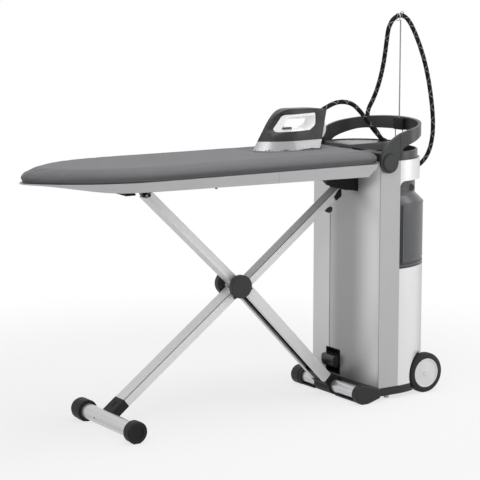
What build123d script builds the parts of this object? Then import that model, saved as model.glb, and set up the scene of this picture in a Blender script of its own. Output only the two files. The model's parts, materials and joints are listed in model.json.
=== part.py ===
# Steam ironing system: a board on a two-leg scissor stand, hinged to a rolling column
# that holds the boiler and the water tank, with a steam iron on a hose.
# Millimetres. X runs along the board, nose at -X and column at +X. Z is up, Z = 0 is the floor.
# The origin is the middle of the footprint, and the XZ plane is the plane of symmetry.

import os
from math import hypot, pi, radians, sqrt, tan

from build123d import *

os.makedirs("parts", exist_ok=True)


# Ironing board
BOARD_LENGTH = 1200.0
BOARD_WIDTH = 400.0
NOSE_RADIUS = 49.0
NOSE_LENGTH = 378.0
BOARD_CORNER = 28.0
BOARD_RISE = 32.8
COVER_DEPTH = 37.2
COVER_ROUND = 19.0
COVER_TUCK = 3.0
SKIRT_NOSE_DROP = 3.6
SKIRT_BEND_DROP = 29.0
SKIRT_REAR_DROP = 39.6
SKIRT_BEND_FROM_NOSE = 260.0
SKIRT_REAR_CHAMFER = 33.0
UNDERSIDE_DROP = 27.6
TRAY_WALL = 3.0
TRAY_FLOOR = 2.5
SEAM_FROM_NOSE = 807.0
SEAM_WIDTH = 1.2
SEAM_DEPTH = 1.0
PLATE_THICKNESS = 2.5

# Column
BOARD_COLUMN_GAP = 19.0
COLUMN_LENGTH = 283.0
COLUMN_TOP = 810.0
COLUMN_BOTTOM = 43.0
COLUMN_HALF_WIDTH = 189.0
PILLAR_START = 2.0
SHELL_START = 84.0
SHELL_TAPER = 23.0
SHOULDER_BOTTOM = 643.0
SHOULDER_TOP = 662.0
SHELL_WALL = 3.0
PANEL_SHEET = 2.5
PANEL_HALF_WIDTH = 175.0
PANEL_EDGE_DEPTH = 10.0
PANEL_GROOVE_FROM = 28.0
PANEL_GROOVE_TO = 94.0
PANEL_GROOVE_DEPTH = 6.0
PILLAR_RECESS = 6.0

# Hinge bracket of the board and the recess that it sinks into as the board rises
BRACKET_HALF_WIDTH = 60.0
BRACKET_DEPTH = 69.0
BRACKET_LENGTH = 64.0
BRACKET_CHEEK_GAP = 29.0
RECESS_HALF_WIDTH = 66.0
RECESS_DEPTH = 44.0
RECESS_BELOW_TOP = 110.0
LINER_WALL = 3.0

# Scissor legs
BASE_PIVOT_REACH = 68.0
FRONT_BAR_REACH = 940.0
RAIL_PIN_REACH = 787.8
RAIL_PIN_DROP = 38.2
BOARD_PIVOT_INSET = 18.9
BOARD_PIVOT_DROP = 39.9
OUTER_LEG_WIDTH = 80.0
OUTER_LEG_DEPTH = 38.0
OUTER_LEG_SHEET = 3.0
OUTER_LEG_START = 44.0
INNER_LEG_WIDTH = 55.0
INNER_LEG_DEPTH = 25.0
INNER_LEG_SHEET = 2.2
HUB_RADIUS = 36.0
HUB_HALF_WIDTH = 55.0
HUB_INNER_HALF = 29.0
HUB_GRIP = 14.0
HUB_WEB_GAP = 14.0
HUB_AXLE_RADIUS = 6.0
TOP_PIN_RADIUS = 5.0
BOARD_PIN_RADIUS = 6.0
RUNNING_FIT = 0.05

# Bars and feet
FRONT_BAR_RADIUS = 25.0
FRONT_CAP_RADIUS = 35.0
FRONT_CAP_LENGTH = 33.0
FOOT_HALF_SPAN = 208.0
FRONT_BAR_WALL = 2.0
BASE_BAR_RADIUS = 22.0
BASE_BAR_WALL = 2.5
BASE_FOOT_RADIUS = 33.0
BASE_FOOT_HALF_SPAN = 205.0
BASE_FOOT_LENGTH = 33.0
SLEEVE_RADIUS = 30.0
SLEEVE_HALF_WIDTH = 44.0

# Rail under the board and the carriage that runs in it
RAIL_WIDTH = 44.0
RAIL_HEIGHT = 26.0
RAIL_SHEET = 2.5
RAIL_SLOT = 15.0
RAIL_BEFORE_PIN = 42.0
RAIL_TRAVEL = 216.0
ROLLER_RADIUS = 7.0
ROLLER_WIDTH = 9.0
CARRIAGE_NECK = 12.0

# Wheels
WHEEL_RADIUS = 69.0
WHEEL_WIDTH = 30.0
WHEEL_OUTER = 182.0
RIM_RADIUS = 50.0
WHEEL_ARCH_GAP = 6.0
AXLE_RADIUS = 6.0

# Base tray
TRAY_BOTTOM = 15.0
APRON_REACH = 40.0

# Deck and handle
DECK_INSET = 8.0
DECK_RISE = 28.0
DECK_FLOOR_RISE = 8.0
DECK_WALL = 6.0
HANDLE_PIVOT_REACH = 27.0
HANDLE_PIVOT_DROP = 2.0
HANDLE_SIDE_GAP = 4.0
HANDLE_BAND = 12.0
HANDLE_BOW_START = 105.0
HANDLE_BOW_DEPTH = 150.0
HANDLE_DISC_RADIUS = 36.0
HANDLE_BACK_TOP = 130.0
HANDLE_BACK_HEIGHT = 45.0
HANDLE_CAP_PROUD = 3.0

# Hose, its holder and its fittings
HOSE_DIAMETER = 15.5
HOSE_ROD_RADIUS = 2.5
HOSE_ROD_TOP = 456.0
HOSE_ROD_REACH = 222.0
ROD_BLOCK_WIDTH = 50.0
ROD_BLOCK_DEPTH = 27.0
ROD_BLOCK_HEIGHT = 40.0
ROD_LEG_SPREAD = 20.0

# Water tank and its bay
TANK_FRONT = 127.0
TANK_INNER_EDGE = 20.0
TANK_BOTTOM = 428.0
TANK_TOP = 746.0
TANK_WINDOW_CORNER = 30.0
TANK_WALL = 3.0
TANK_GAP = 1.5

# Foot latch on the front panel
LATCH_FROM = 27.0
LATCH_TO = 109.0
LATCH_BOTTOM = 48.0
LATCH_TOP = 136.0
LATCH_DEPTH = 34.0

# Steam iron, standing on the cover beside the middle line
IRON_OFFSET = 54.0
IRON_TIP_REACH = 326.0
IRON_LENGTH = 233.0
IRON_HALF_WIDTH = 62.0
SOLE_THICKNESS = 4.0
BAND_TOP = 33.0
IRON_HEIGHT = 140.0


# Places that follow from the sizes above
BOARD_REAR = (BOARD_LENGTH - BOARD_COLUMN_GAP - COLUMN_LENGTH) / 2
BOARD_NOSE = BOARD_REAR - BOARD_LENGTH
COLUMN_FRONT = BOARD_REAR + BOARD_COLUMN_GAP
PILLAR_FRONT = COLUMN_FRONT + PILLAR_START
SHELL_FRONT = COLUMN_FRONT + SHELL_START
COLUMN_REAR = COLUMN_FRONT + COLUMN_LENGTH
SHELL_TOP_REAR = COLUMN_REAR - SHELL_TAPER
BOARD_TOP = COLUMN_TOP + BOARD_RISE
RIM_Z = BOARD_TOP - COVER_DEPTH
UNDERSIDE_Z = RIM_Z - UNDERSIDE_DROP
HALF_BOARD = BOARD_WIDTH / 2
RAIL_BOTTOM = UNDERSIDE_Z - RAIL_HEIGHT
ROLLER_Z = UNDERSIDE_Z - RAIL_HEIGHT / 2

BASE_PIVOT = (COLUMN_FRONT - BASE_PIVOT_REACH, BASE_FOOT_RADIUS)
BASE_FOOT_INNER = BASE_FOOT_HALF_SPAN - BASE_FOOT_LENGTH
FRONT_BAR = (COLUMN_FRONT - FRONT_BAR_REACH, FRONT_CAP_RADIUS)
RAIL_PIN = (COLUMN_FRONT - RAIL_PIN_REACH, UNDERSIDE_Z - RAIL_PIN_DROP)
BOARD_PIVOT = (BOARD_REAR - BOARD_PIVOT_INSET, UNDERSIDE_Z - BOARD_PIVOT_DROP)

WHEEL_X = COLUMN_REAR - WHEEL_RADIUS
WHEEL_INNER = WHEEL_OUTER - WHEEL_WIDTH
HANDLE_PIVOT = (COLUMN_FRONT + HANDLE_PIVOT_REACH, COLUMN_TOP - HANDLE_PIVOT_DROP)
HANDLE_BACK_X = COLUMN_FRONT + HANDLE_BOW_START + HANDLE_BOW_DEPTH
HANDLE_HALF_WIDTH = COLUMN_HALF_WIDTH + HANDLE_SIDE_GAP + HANDLE_BAND
HANDLE_CAP_OUTER = HANDLE_HALF_WIDTH + HANDLE_CAP_PROUD
DECK_TOP = COLUMN_TOP + DECK_RISE
DECK_FLOOR = COLUMN_TOP + DECK_FLOOR_RISE
HOSE_ROD_X = COLUMN_FRONT + HOSE_ROD_REACH
TANK_X = COLUMN_FRONT + TANK_FRONT
IRON_TIP = BOARD_REAR - IRON_TIP_REACH
IRON_REAR = IRON_TIP + IRON_LENGTH


def towards(start, end):
    length = hypot(end[0] - start[0], end[1] - start[1])
    return (end[0] - start[0]) / length, (end[1] - start[1]) / length


def distance(start, end):
    return hypot(end[0] - start[0], end[1] - start[1])


OUTER_DIRECTION = towards(BASE_PIVOT, RAIL_PIN)
INNER_DIRECTION = towards(FRONT_BAR, BOARD_PIVOT)
OUTER_LENGTH = distance(BASE_PIVOT, RAIL_PIN)
INNER_LENGTH = distance(FRONT_BAR, BOARD_PIVOT)


def crossing(start, direction, other_start, other_direction):
    # Distance along the first line at which it meets the second, in the XZ plane
    gap_x = other_start[0] - start[0]
    gap_z = other_start[1] - start[1]
    spread = direction[0] * other_direction[1] - direction[1] * other_direction[0]
    return (gap_x * other_direction[1] - gap_z * other_direction[0]) / spread


OUTER_LOWER = crossing(BASE_PIVOT, OUTER_DIRECTION, FRONT_BAR, INNER_DIRECTION)
INNER_LOWER = crossing(FRONT_BAR, INNER_DIRECTION, BASE_PIVOT, OUTER_DIRECTION)
OUTER_UPPER = OUTER_LENGTH - OUTER_LOWER
HUB = (
    BASE_PIVOT[0] + OUTER_LOWER * OUTER_DIRECTION[0],
    BASE_PIVOT[1] + OUTER_LOWER * OUTER_DIRECTION[1],
)


def save(piece, name):
    piece.part.label = name
    export_step(piece.part, f"parts/{name}.step")


def side_plane(point, direction=(1.0, 0.0), y=0.0):
    # Local x runs along the direction, local y square to it, and extrusions go towards -Y
    return Plane(
        origin=(point[0], y, point[1]),
        x_dir=(direction[0], 0, direction[1]),
        z_dir=(0, -1, 0),
    )


def across(point, half, radius, mode=Mode.ADD):
    # A round bar along Y through a point of the XZ plane, reaching as far to both sides
    with BuildSketch(side_plane(point)) as disc:
        Circle(radius)
    extrude(disc.sketch, amount=half, both=True, mode=mode)


def across_between(point, low, high, radius, mode=Mode.ADD):
    # A round bar along Y from low to high
    with BuildSketch(side_plane(point, y=high)) as disc:
        Circle(radius)
    extrude(disc.sketch, amount=high - low, mode=mode)


def block(x_range, y_range, z_range, mode=Mode.ADD):
    # A square block between two corners
    with BuildSketch(Plane.XY.offset(z_range[0])) as base:
        with Locations(((x_range[0] + x_range[1]) / 2, (y_range[0] + y_range[1]) / 2)):
            Rectangle(x_range[1] - x_range[0], y_range[1] - y_range[0])
    extrude(base.sketch, amount=z_range[1] - z_range[0], mode=mode)


def board_outline(inset=0.0):
    # Round nose, one large arc to each straight side and rounded rear corners
    half = HALF_BOARD
    side_radius = (NOSE_LENGTH**2 - 2 * NOSE_LENGTH * NOSE_RADIUS + half**2) / (2 * half - 2 * NOSE_RADIUS)
    centre_x = BOARD_NOSE + NOSE_LENGTH
    centre_y = half - side_radius
    nose_x = BOARD_NOSE + NOSE_RADIUS
    reach = side_radius / (side_radius - NOSE_RADIUS)
    touch_x = centre_x + (nose_x - centre_x) * reach
    touch_y = centre_y - centre_y * reach
    middle_x = (centre_x + touch_x) / 2
    middle_y = centre_y + sqrt(side_radius**2 - (middle_x - centre_x) ** 2)
    with BuildSketch() as outline:
        with BuildLine():
            ThreePointArc((touch_x, -touch_y), (BOARD_NOSE, 0), (touch_x, touch_y))
            ThreePointArc((touch_x, touch_y), (middle_x, middle_y), (centre_x, half))
            Line((centre_x, half), (BOARD_REAR, half))
            Line((BOARD_REAR, half), (BOARD_REAR, -half))
            Line((BOARD_REAR, -half), (centre_x, -half))
            ThreePointArc((centre_x, -half), (middle_x, -middle_y), (touch_x, -touch_y))
        make_face()
        fillet(outline.vertices().group_by(Axis.X)[-1], radius=BOARD_CORNER)
        if inset:
            offset(amount=-inset, mode=Mode.REPLACE)
    return outline.sketch


def column_outline(inset, rear_x, front_x=None):
    # Straight sides from the front and half an ellipse round the back
    half = COLUMN_HALF_WIDTH - inset
    front = SHELL_FRONT if front_x is None else front_x
    with BuildSketch() as outline:
        with BuildLine():
            EllipticalCenterArc(
                (SHELL_FRONT, 0), rear_x - inset - SHELL_FRONT, half, start_angle=-90, arc_size=180
            )
            if front < SHELL_FRONT:
                Polyline((SHELL_FRONT, half), (front, half), (front, -half), (SHELL_FRONT, -half))
            else:
                Line((SHELL_FRONT, half), (SHELL_FRONT, -half))
        make_face()
    return outline.sketch


def column_form(inset, bottom, top, front_x=None):
    # The column's solid: full depth below the shoulder, shallower above it
    low = column_outline(inset, COLUMN_REAR, front_x)
    high = column_outline(inset, SHELL_TOP_REAR, front_x)
    low_top = min(top, SHOULDER_BOTTOM)
    with BuildPart() as form:
        extrude(Plane.XY.offset(bottom) * low, amount=low_top - bottom)
        if top > SHOULDER_TOP:
            loft([Plane.XY.offset(SHOULDER_BOTTOM) * low, Plane.XY.offset(SHOULDER_TOP) * high])
            extrude(Plane.XY.offset(SHOULDER_TOP) * high, amount=top - SHOULDER_TOP)
    return form.part


# Ironing board

def below_skirt(shift=0.0):
    # Cuts away everything under the skirt's lower edge, which drops towards the rear
    bend_x = BOARD_NOSE + SKIRT_BEND_FROM_NOSE
    chamfer_x = BOARD_REAR - SKIRT_REAR_CHAMFER
    slope = (SKIRT_REAR_DROP - SKIRT_BEND_DROP) / (chamfer_x - bend_x)
    nose = (BOARD_NOSE, RIM_Z - SKIRT_NOSE_DROP + shift)
    bend = (bend_x, RIM_Z - SKIRT_BEND_DROP + shift)
    rear = (chamfer_x, RIM_Z - SKIRT_REAR_DROP + shift)
    far_x = BOARD_REAR + BOARD_COLUMN_GAP
    depth = RIM_Z - SKIRT_REAR_DROP - RAIL_HEIGHT
    with BuildSketch(Plane.XZ) as below:
        with BuildLine():
            Spline(nose, bend, tangents=((1, 0), (1, -slope)))
            Polyline(bend, rear, (BOARD_REAR, RIM_Z + shift), (far_x, RIM_Z + shift), (far_x, depth))
            Polyline((far_x, depth), (BOARD_NOSE - BOARD_COLUMN_GAP, depth))
            Polyline(
                (BOARD_NOSE - BOARD_COLUMN_GAP, depth), (BOARD_NOSE - BOARD_COLUMN_GAP, nose[1]), nose
            )
        make_face()
    extrude(below.sketch, amount=BOARD_WIDTH, both=True, mode=Mode.SUBTRACT)


with BuildPart() as tray_room:
    with BuildSketch(Plane.XY.offset(UNDERSIDE_Z + TRAY_FLOOR)):
        add(board_outline(TRAY_WALL))
    extrude(amount=UNDERSIDE_DROP)
    below_skirt(TRAY_FLOOR)

# Tray with a skirt that deepens towards the rear
RIB_THICKNESS = 2.0
RIB_FIRST_FROM_NOSE = 330.0
RIB_PITCH = 160.0
RIB_COUNT = 6
RIB_HALF_SPAN = 180.0
with BuildPart() as board_tray:
    with BuildSketch(Plane.XY.offset(RIM_Z - SKIRT_REAR_DROP)):
        add(board_outline())
    extrude(amount=SKIRT_REAR_DROP)
    below_skirt()
    with BuildSketch(Plane.XY.offset(RIM_Z - SKIRT_REAR_DROP)):
        add(board_outline(TRAY_WALL))
    extrude(amount=SKIRT_REAR_DROP - UNDERSIDE_DROP, mode=Mode.SUBTRACT)
    add(tray_room.part, mode=Mode.SUBTRACT)
    # The seam between the nose moulding and the side mouldings
    with BuildSketch(Plane.XY.offset(RIM_Z - SKIRT_REAR_DROP)):
        for side in (-1, 1):
            with Locations((BOARD_NOSE + SEAM_FROM_NOSE, side * HALF_BOARD)):
                Rectangle(SEAM_WIDTH, 2 * SEAM_DEPTH)
    extrude(amount=SKIRT_REAR_DROP, mode=Mode.SUBTRACT)
    # Cross ribs that hold the plate off the floor
    for number in range(RIB_COUNT):
        rib_x = BOARD_NOSE + RIB_FIRST_FROM_NOSE + number * RIB_PITCH
        block(
            (rib_x, rib_x + RIB_THICKNESS),
            (-RIB_HALF_SPAN, RIB_HALF_SPAN),
            (UNDERSIDE_Z + TRAY_FLOOR, RIM_Z - PLATE_THICKNESS),
        )
save(board_tray, "board_tray")

# The perforated plate that carries the cover and lets steam through
PLATE_HOLE_RADIUS = 3.0
PLATE_HOLES = (9, 3)
PLATE_HOLE_PITCH = (85.0, 90.0)
PLATE_GAP = 0.5
with BuildPart() as ironing_plate:
    with BuildSketch(Plane.XY.offset(RIM_Z - PLATE_THICKNESS)):
        add(board_outline(TRAY_WALL + PLATE_GAP))
        with Locations(((BOARD_NOSE + BOARD_REAR) / 2 + NOSE_RADIUS, 0)):
            with GridLocations(*PLATE_HOLE_PITCH, *PLATE_HOLES):
                Circle(PLATE_HOLE_RADIUS, mode=Mode.SUBTRACT)
    extrude(amount=PLATE_THICKNESS)
    add(board_tray.part, mode=Mode.SUBTRACT)
save(ironing_plate, "ironing_plate")

# Padded cover, drawn in under its edge and rounded over the top
with BuildPart() as board_cover:
    with BuildSketch(Plane.XY.offset(RIM_Z)):
        add(board_outline())
    extrude(amount=COVER_DEPTH)
    fillet(board_cover.faces().sort_by(Axis.Z)[-1].edges(), radius=COVER_ROUND)
    chamfer(board_cover.faces().sort_by(Axis.Z)[0].edges(), length=COVER_TUCK)
save(board_cover, "board_cover")

# Hinge bracket under the rear of the board: a bridge and two cheeks round the inner leg
BRACKET_NOSE_RISE = 27.0
BRACKET_CORNER = 9.0
BRACKET_BRIDGE = 6.0
BRACKET_REAR = BOARD_REAR + BOARD_COLUMN_GAP - PILLAR_START - 1.0
with BuildPart() as rear_bracket:
    bracket_low = UNDERSIDE_Z - BRACKET_DEPTH
    bracket_front = BRACKET_REAR - BRACKET_LENGTH
    with BuildSketch(Plane.XZ) as cheek:
        with BuildLine():
            Polyline(
                (bracket_front, UNDERSIDE_Z),
                (bracket_front, bracket_low + BRACKET_NOSE_RISE),
                (bracket_front + BRACKET_NOSE_RISE, bracket_low),
                (BRACKET_REAR, bracket_low),
                (BRACKET_REAR, UNDERSIDE_Z),
                close=True,
            )
        make_face()
        fillet(cheek.vertices().group_by(Axis.Y)[0] + cheek.vertices().group_by(Axis.Y)[1], BRACKET_CORNER)
    extrude(amount=BRACKET_HALF_WIDTH, both=True)
    block(
        (bracket_front + BRACKET_BRIDGE, BRACKET_REAR + 1),
        (-BRACKET_CHEEK_GAP, BRACKET_CHEEK_GAP),
        (bracket_low - 1, UNDERSIDE_Z - BRACKET_BRIDGE),
        mode=Mode.SUBTRACT,
    )
    block(
        (bracket_front - 1, BRACKET_REAR + 1),
        (-BRACKET_CHEEK_GAP, BRACKET_CHEEK_GAP),
        (bracket_low - 1, bracket_low + BRACKET_NOSE_RISE),
        mode=Mode.SUBTRACT,
    )
    across(BOARD_PIVOT, BRACKET_HALF_WIDTH, BOARD_PIN_RADIUS, mode=Mode.SUBTRACT)
save(rear_bracket, "rear_bracket")

# Slotted rail for the carriage of the outer leg
with BuildPart() as guide_rail:
    rail_front = RAIL_PIN[0] - RAIL_BEFORE_PIN
    rail_rear = RAIL_PIN[0] + RAIL_TRAVEL
    with BuildSketch(Plane.YZ.offset(rail_front)):
        with Locations((0, UNDERSIDE_Z - RAIL_HEIGHT / 2)):
            Rectangle(RAIL_WIDTH, RAIL_HEIGHT)
            Rectangle(RAIL_WIDTH - 2 * RAIL_SHEET, RAIL_HEIGHT - 2 * RAIL_SHEET, mode=Mode.SUBTRACT)
        with Locations((0, RAIL_BOTTOM)):
            Rectangle(RAIL_SLOT, 4 * RAIL_SHEET, mode=Mode.SUBTRACT)
    extrude(amount=rail_rear - rail_front)
    # End stops closing the two ends
    for stop_x in (rail_front, rail_rear - RAIL_SHEET):
        block(
            (stop_x, stop_x + RAIL_SHEET),
            (-RAIL_WIDTH / 2, RAIL_WIDTH / 2),
            (RAIL_BOTTOM, UNDERSIDE_Z),
        )
save(guide_rail, "guide_rail")

# Release lever for the height, hung from a small housing towards the near edge
LEVER_FROM_NOSE = 320.0
LEVER_PIVOT_Y = -34.0
LEVER_PIVOT_DROP = 14.0
LEVER_TIP_Y = -104.0
LEVER_WIDTH = 33.0
LEVER_THICKNESS = 7.0
LEVER_TIP_DROP = 23.0
LEVER_PIN_RADIUS = 3.0
HOUSING_WALL = 4.0
LEVER_X = BOARD_NOSE + LEVER_FROM_NOSE
LEVER_PIVOT_Z = UNDERSIDE_Z - LEVER_PIVOT_DROP
with BuildPart() as lever_housing:
    for side in (-1, 1):
        cheek_x = LEVER_X + side * (LEVER_WIDTH / 2 + 0.5 + HOUSING_WALL / 2)
        with BuildSketch(Plane.YZ.offset(cheek_x)) as ear:
            with Locations((LEVER_PIVOT_Y, UNDERSIDE_Z - LEVER_PIVOT_DROP / 2)):
                Rectangle(2 * LEVER_PIVOT_DROP, LEVER_PIVOT_DROP)
            with Locations((LEVER_PIVOT_Y, LEVER_PIVOT_Z)):
                Circle(LEVER_THICKNESS)
        extrude(amount=HOUSING_WALL / 2, both=True)
    with BuildSketch(Plane.YZ.offset(LEVER_X)):
        with Locations((LEVER_PIVOT_Y, LEVER_PIVOT_Z)):
            Circle(LEVER_PIN_RADIUS)
    extrude(amount=LEVER_WIDTH / 2 + 1, both=True)
with BuildPart() as release_lever:
    tip_z = UNDERSIDE_Z - LEVER_TIP_DROP
    with BuildSketch(Plane.YZ.offset(LEVER_X)) as grip:
        with BuildLine():
            Polyline(
                (LEVER_PIVOT_Y + 6, LEVER_PIVOT_Z + LEVER_THICKNESS / 2),
                (LEVER_TIP_Y, tip_z + LEVER_THICKNESS),
                (LEVER_TIP_Y - 4, tip_z + LEVER_THICKNESS / 2),
                (LEVER_TIP_Y, tip_z),
                (LEVER_PIVOT_Y + 6, LEVER_PIVOT_Z - LEVER_THICKNESS),
                close=True,
            )
        make_face()
        fillet(grip.vertices().sort_by(Axis.X)[-2:], radius=3)
        with Locations((LEVER_PIVOT_Y, LEVER_PIVOT_Z)):
            Circle(LEVER_THICKNESS)
            Circle(LEVER_PIN_RADIUS + RUNNING_FIT, mode=Mode.SUBTRACT)
    extrude(amount=LEVER_WIDTH / 2, both=True)
save(release_lever, "release_lever")

# Cable knob and transport peg on the underside
KNOB_FROM_REAR = 266.0
KNOB_Y = -150.0
KNOB_RADIUS = 12.0
PEG_FROM_REAR = 567.0
PEG_Y = -100.0
PEG_RADIUS = 4.0
PEG_LENGTH = 24.0
with BuildPart() as underside_fittings:
    with BuildSketch(Plane.XY.offset(UNDERSIDE_Z)):
        with Locations((BOARD_REAR - KNOB_FROM_REAR, KNOB_Y)):
            Circle(KNOB_RADIUS)
    extrude(amount=-KNOB_RADIUS)
    with BuildSketch(Plane.XY.offset(UNDERSIDE_Z)):
        with Locations((BOARD_REAR - PEG_FROM_REAR, PEG_Y)):
            Circle(PEG_RADIUS)
    extrude(amount=-PEG_LENGTH)
    fillet(underside_fittings.edges().group_by(Axis.Z)[0], radius=1.5)
    add(lever_housing.part)
save(underside_fittings, "underside_fittings")


# Scissor legs

def leg_point(start, direction, reach):
    return start[0] + reach * direction[0], start[1] + reach * direction[1]


def outer_leg_half(low, high, web_side, name, top_end=False):
    # Two cheeks and a web on one side: local y is +1 on the lower left, -1 on the upper right
    inside = OUTER_LEG_WIDTH / 2 - OUTER_LEG_SHEET
    depth = OUTER_LEG_DEPTH / 2
    with BuildPart() as leg:
        with BuildSketch(side_plane(BASE_PIVOT, OUTER_DIRECTION)) as outline:
            with Locations(((low + high) / 2, 0)):
                Rectangle(high - low, OUTER_LEG_DEPTH)
            if top_end:
                with Locations((high, 0)):
                    Circle(depth)
        extrude(outline.sketch, amount=OUTER_LEG_WIDTH / 2, both=True)
        with BuildSketch(side_plane(BASE_PIVOT, OUTER_DIRECTION)) as hollow:
            with Locations(((low + high) / 2, -web_side * OUTER_LEG_SHEET)):
                Rectangle(high - low + 4 * depth, OUTER_LEG_DEPTH)
        extrude(hollow.sketch, amount=inside, both=True, mode=Mode.SUBTRACT)
        # The web stops short of the hub, where the inner leg swings through
        hub_end = low if top_end else high
        with BuildSketch(side_plane(BASE_PIVOT, OUTER_DIRECTION)) as passage:
            with Locations((hub_end, 0)):
                Rectangle(2 * HUB_WEB_GAP, 2 * OUTER_LEG_DEPTH)
        extrude(passage.sketch, amount=inside, both=True, mode=Mode.SUBTRACT)
        if top_end:
            across(RAIL_PIN, OUTER_LEG_WIDTH / 2, TOP_PIN_RADIUS, mode=Mode.SUBTRACT)
    save(leg, name)
    return leg


outer_leg_lower = outer_leg_half(OUTER_LEG_START, OUTER_LOWER - HUB_GRIP, -1, "outer_leg_lower")
outer_leg_upper = outer_leg_half(OUTER_LOWER + HUB_GRIP, OUTER_LENGTH, 1, "outer_leg_upper", True)


# Hub mouldings: round covers with a squared grip round the lower half of the outer leg
HUB_RECESS_RADIUS = 28.0
HUB_RECESS_DEPTH = 7.0
HUB_AXLE_COVER = 3.0
HUB_EDGE = 2.5
with BuildPart() as hub_covers:
    with BuildSketch(side_plane(HUB, OUTER_DIRECTION)) as hub_outline:
        Circle(HUB_RADIUS)
        with Locations((-HUB_RADIUS / 2, 0)):
            Rectangle(HUB_RADIUS, 2 * HUB_RADIUS)
    extrude(hub_outline.sketch, amount=HUB_HALF_WIDTH, both=True)
    chamfer(
        hub_covers.faces().sort_by(Axis.Y)[0].edges() + hub_covers.faces().sort_by(Axis.Y)[-1].edges(),
        length=HUB_EDGE,
    )
    with BuildSketch(side_plane(HUB, OUTER_DIRECTION)) as middle:
        Rectangle(4 * HUB_RADIUS, 4 * HUB_RADIUS)
    extrude(middle.sketch, amount=HUB_INNER_HALF, both=True, mode=Mode.SUBTRACT)
    across(HUB, HUB_INNER_HALF + HUB_RECESS_DEPTH, HUB_RECESS_RADIUS, mode=Mode.SUBTRACT)
    across(HUB, HUB_HALF_WIDTH - HUB_AXLE_COVER, HUB_AXLE_RADIUS, mode=Mode.SUBTRACT)
    add(outer_leg_lower.part, mode=Mode.SUBTRACT)
    add(outer_leg_upper.part, mode=Mode.SUBTRACT)
save(hub_covers, "hub_covers")

# Axle of the hub, and the pin at the top of the outer leg with a round head outside each cheek
PIN_HEAD_RADIUS = 9.0
PIN_HEAD_HEIGHT = 4.0
with BuildPart() as leg_pins:
    across(RAIL_PIN, OUTER_LEG_WIDTH / 2, TOP_PIN_RADIUS)
    for side in (-1, 1):
        low_y = min(side * OUTER_LEG_WIDTH / 2, side * (OUTER_LEG_WIDTH / 2 + PIN_HEAD_HEIGHT))
        across_between(RAIL_PIN, low_y, low_y + PIN_HEAD_HEIGHT, PIN_HEAD_RADIUS)
    end_faces = leg_pins.faces().sort_by(Axis.Y)
    fillet(end_faces[0].edges() + end_faces[-1].edges(), radius=1.2)
    across(HUB, HUB_HALF_WIDTH - HUB_AXLE_COVER, HUB_AXLE_RADIUS)
save(leg_pins, "leg_pins")

# Sleeve that turns on the base bar and plugs into the foot of the outer leg
SLEEVE_PLUG = 46.0
with BuildPart() as leg_sleeve:
    across(BASE_PIVOT, SLEEVE_HALF_WIDTH, SLEEVE_RADIUS)
    with BuildSketch(side_plane(BASE_PIVOT, OUTER_DIRECTION)) as neck:
        with Locations((OUTER_LEG_START / 2, 0)):
            Rectangle(OUTER_LEG_START, OUTER_LEG_DEPTH)
    extrude(neck.sketch, amount=OUTER_LEG_WIDTH / 2, both=True)
    with BuildSketch(side_plane(BASE_PIVOT, OUTER_DIRECTION)) as plug:
        with Locations((OUTER_LEG_START + SLEEVE_PLUG / 2, 0)):
            Rectangle(SLEEVE_PLUG, OUTER_LEG_DEPTH - 2 * OUTER_LEG_SHEET)
    extrude(plug.sketch, amount=OUTER_LEG_WIDTH / 2 - OUTER_LEG_SHEET, both=True)
    across(BASE_PIVOT, SLEEVE_HALF_WIDTH, BASE_BAR_RADIUS + RUNNING_FIT, mode=Mode.SUBTRACT)
save(leg_sleeve, "leg_sleeve")

# Carriage in the rail: a neck down to the top pin and four rollers
ROLLER_SPACING = 30.0
ROLLER_AXLE_RADIUS = 2.5
CARRIAGE_EYE_RADIUS = 11.0
CARRIAGE_BODY_HALF_HEIGHT = 5.0
ROLLER_GAP = 0.5
with BuildPart() as rail_carriage:
    with BuildSketch(side_plane(RAIL_PIN)) as neck:
        Circle(CARRIAGE_EYE_RADIUS)
        with Locations((0, (ROLLER_Z - RAIL_PIN[1]) / 2)):
            Rectangle(2 * CARRIAGE_EYE_RADIUS, ROLLER_Z - RAIL_PIN[1])
        with Locations((0, ROLLER_Z - RAIL_PIN[1])):
            SlotOverall(ROLLER_SPACING + 2 * CARRIAGE_BODY_HALF_HEIGHT, 2 * CARRIAGE_BODY_HALF_HEIGHT)
    extrude(neck.sketch, amount=CARRIAGE_NECK / 2, both=True)
    for roller_x in (-ROLLER_SPACING / 2, ROLLER_SPACING / 2):
        across(
            (RAIL_PIN[0] + roller_x, ROLLER_Z),
            CARRIAGE_NECK / 2 + ROLLER_GAP + ROLLER_WIDTH,
            ROLLER_AXLE_RADIUS,
        )
    across(RAIL_PIN, CARRIAGE_NECK, TOP_PIN_RADIUS + RUNNING_FIT, mode=Mode.SUBTRACT)
save(rail_carriage, "rail_carriage")

with BuildPart() as rail_rollers:
    for roller_x in (-ROLLER_SPACING / 2, ROLLER_SPACING / 2):
        axle_point = (RAIL_PIN[0] + roller_x, ROLLER_Z)
        roller_inner = CARRIAGE_NECK / 2 + ROLLER_GAP
        across(axle_point, roller_inner + ROLLER_WIDTH, ROLLER_RADIUS)
        across(axle_point, roller_inner, ROLLER_RADIUS, mode=Mode.SUBTRACT)
        across(axle_point, roller_inner + ROLLER_WIDTH, ROLLER_AXLE_RADIUS, mode=Mode.SUBTRACT)
save(rail_rollers, "rail_rollers")

# Inner leg: a box section with a fine groove below its upper edges
INNER_LEG_START = 78.0
INNER_LEG_END_GAP = 55.0
INNER_LEG_STOP = INNER_LENGTH - INNER_LEG_END_GAP
INNER_GROOVE = 1.4
BUSH_RADIUS = 9.0
BUSH_FLANGE_RADIUS = 13.0
BUSH_MEETING_GAP = 1.0


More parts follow.
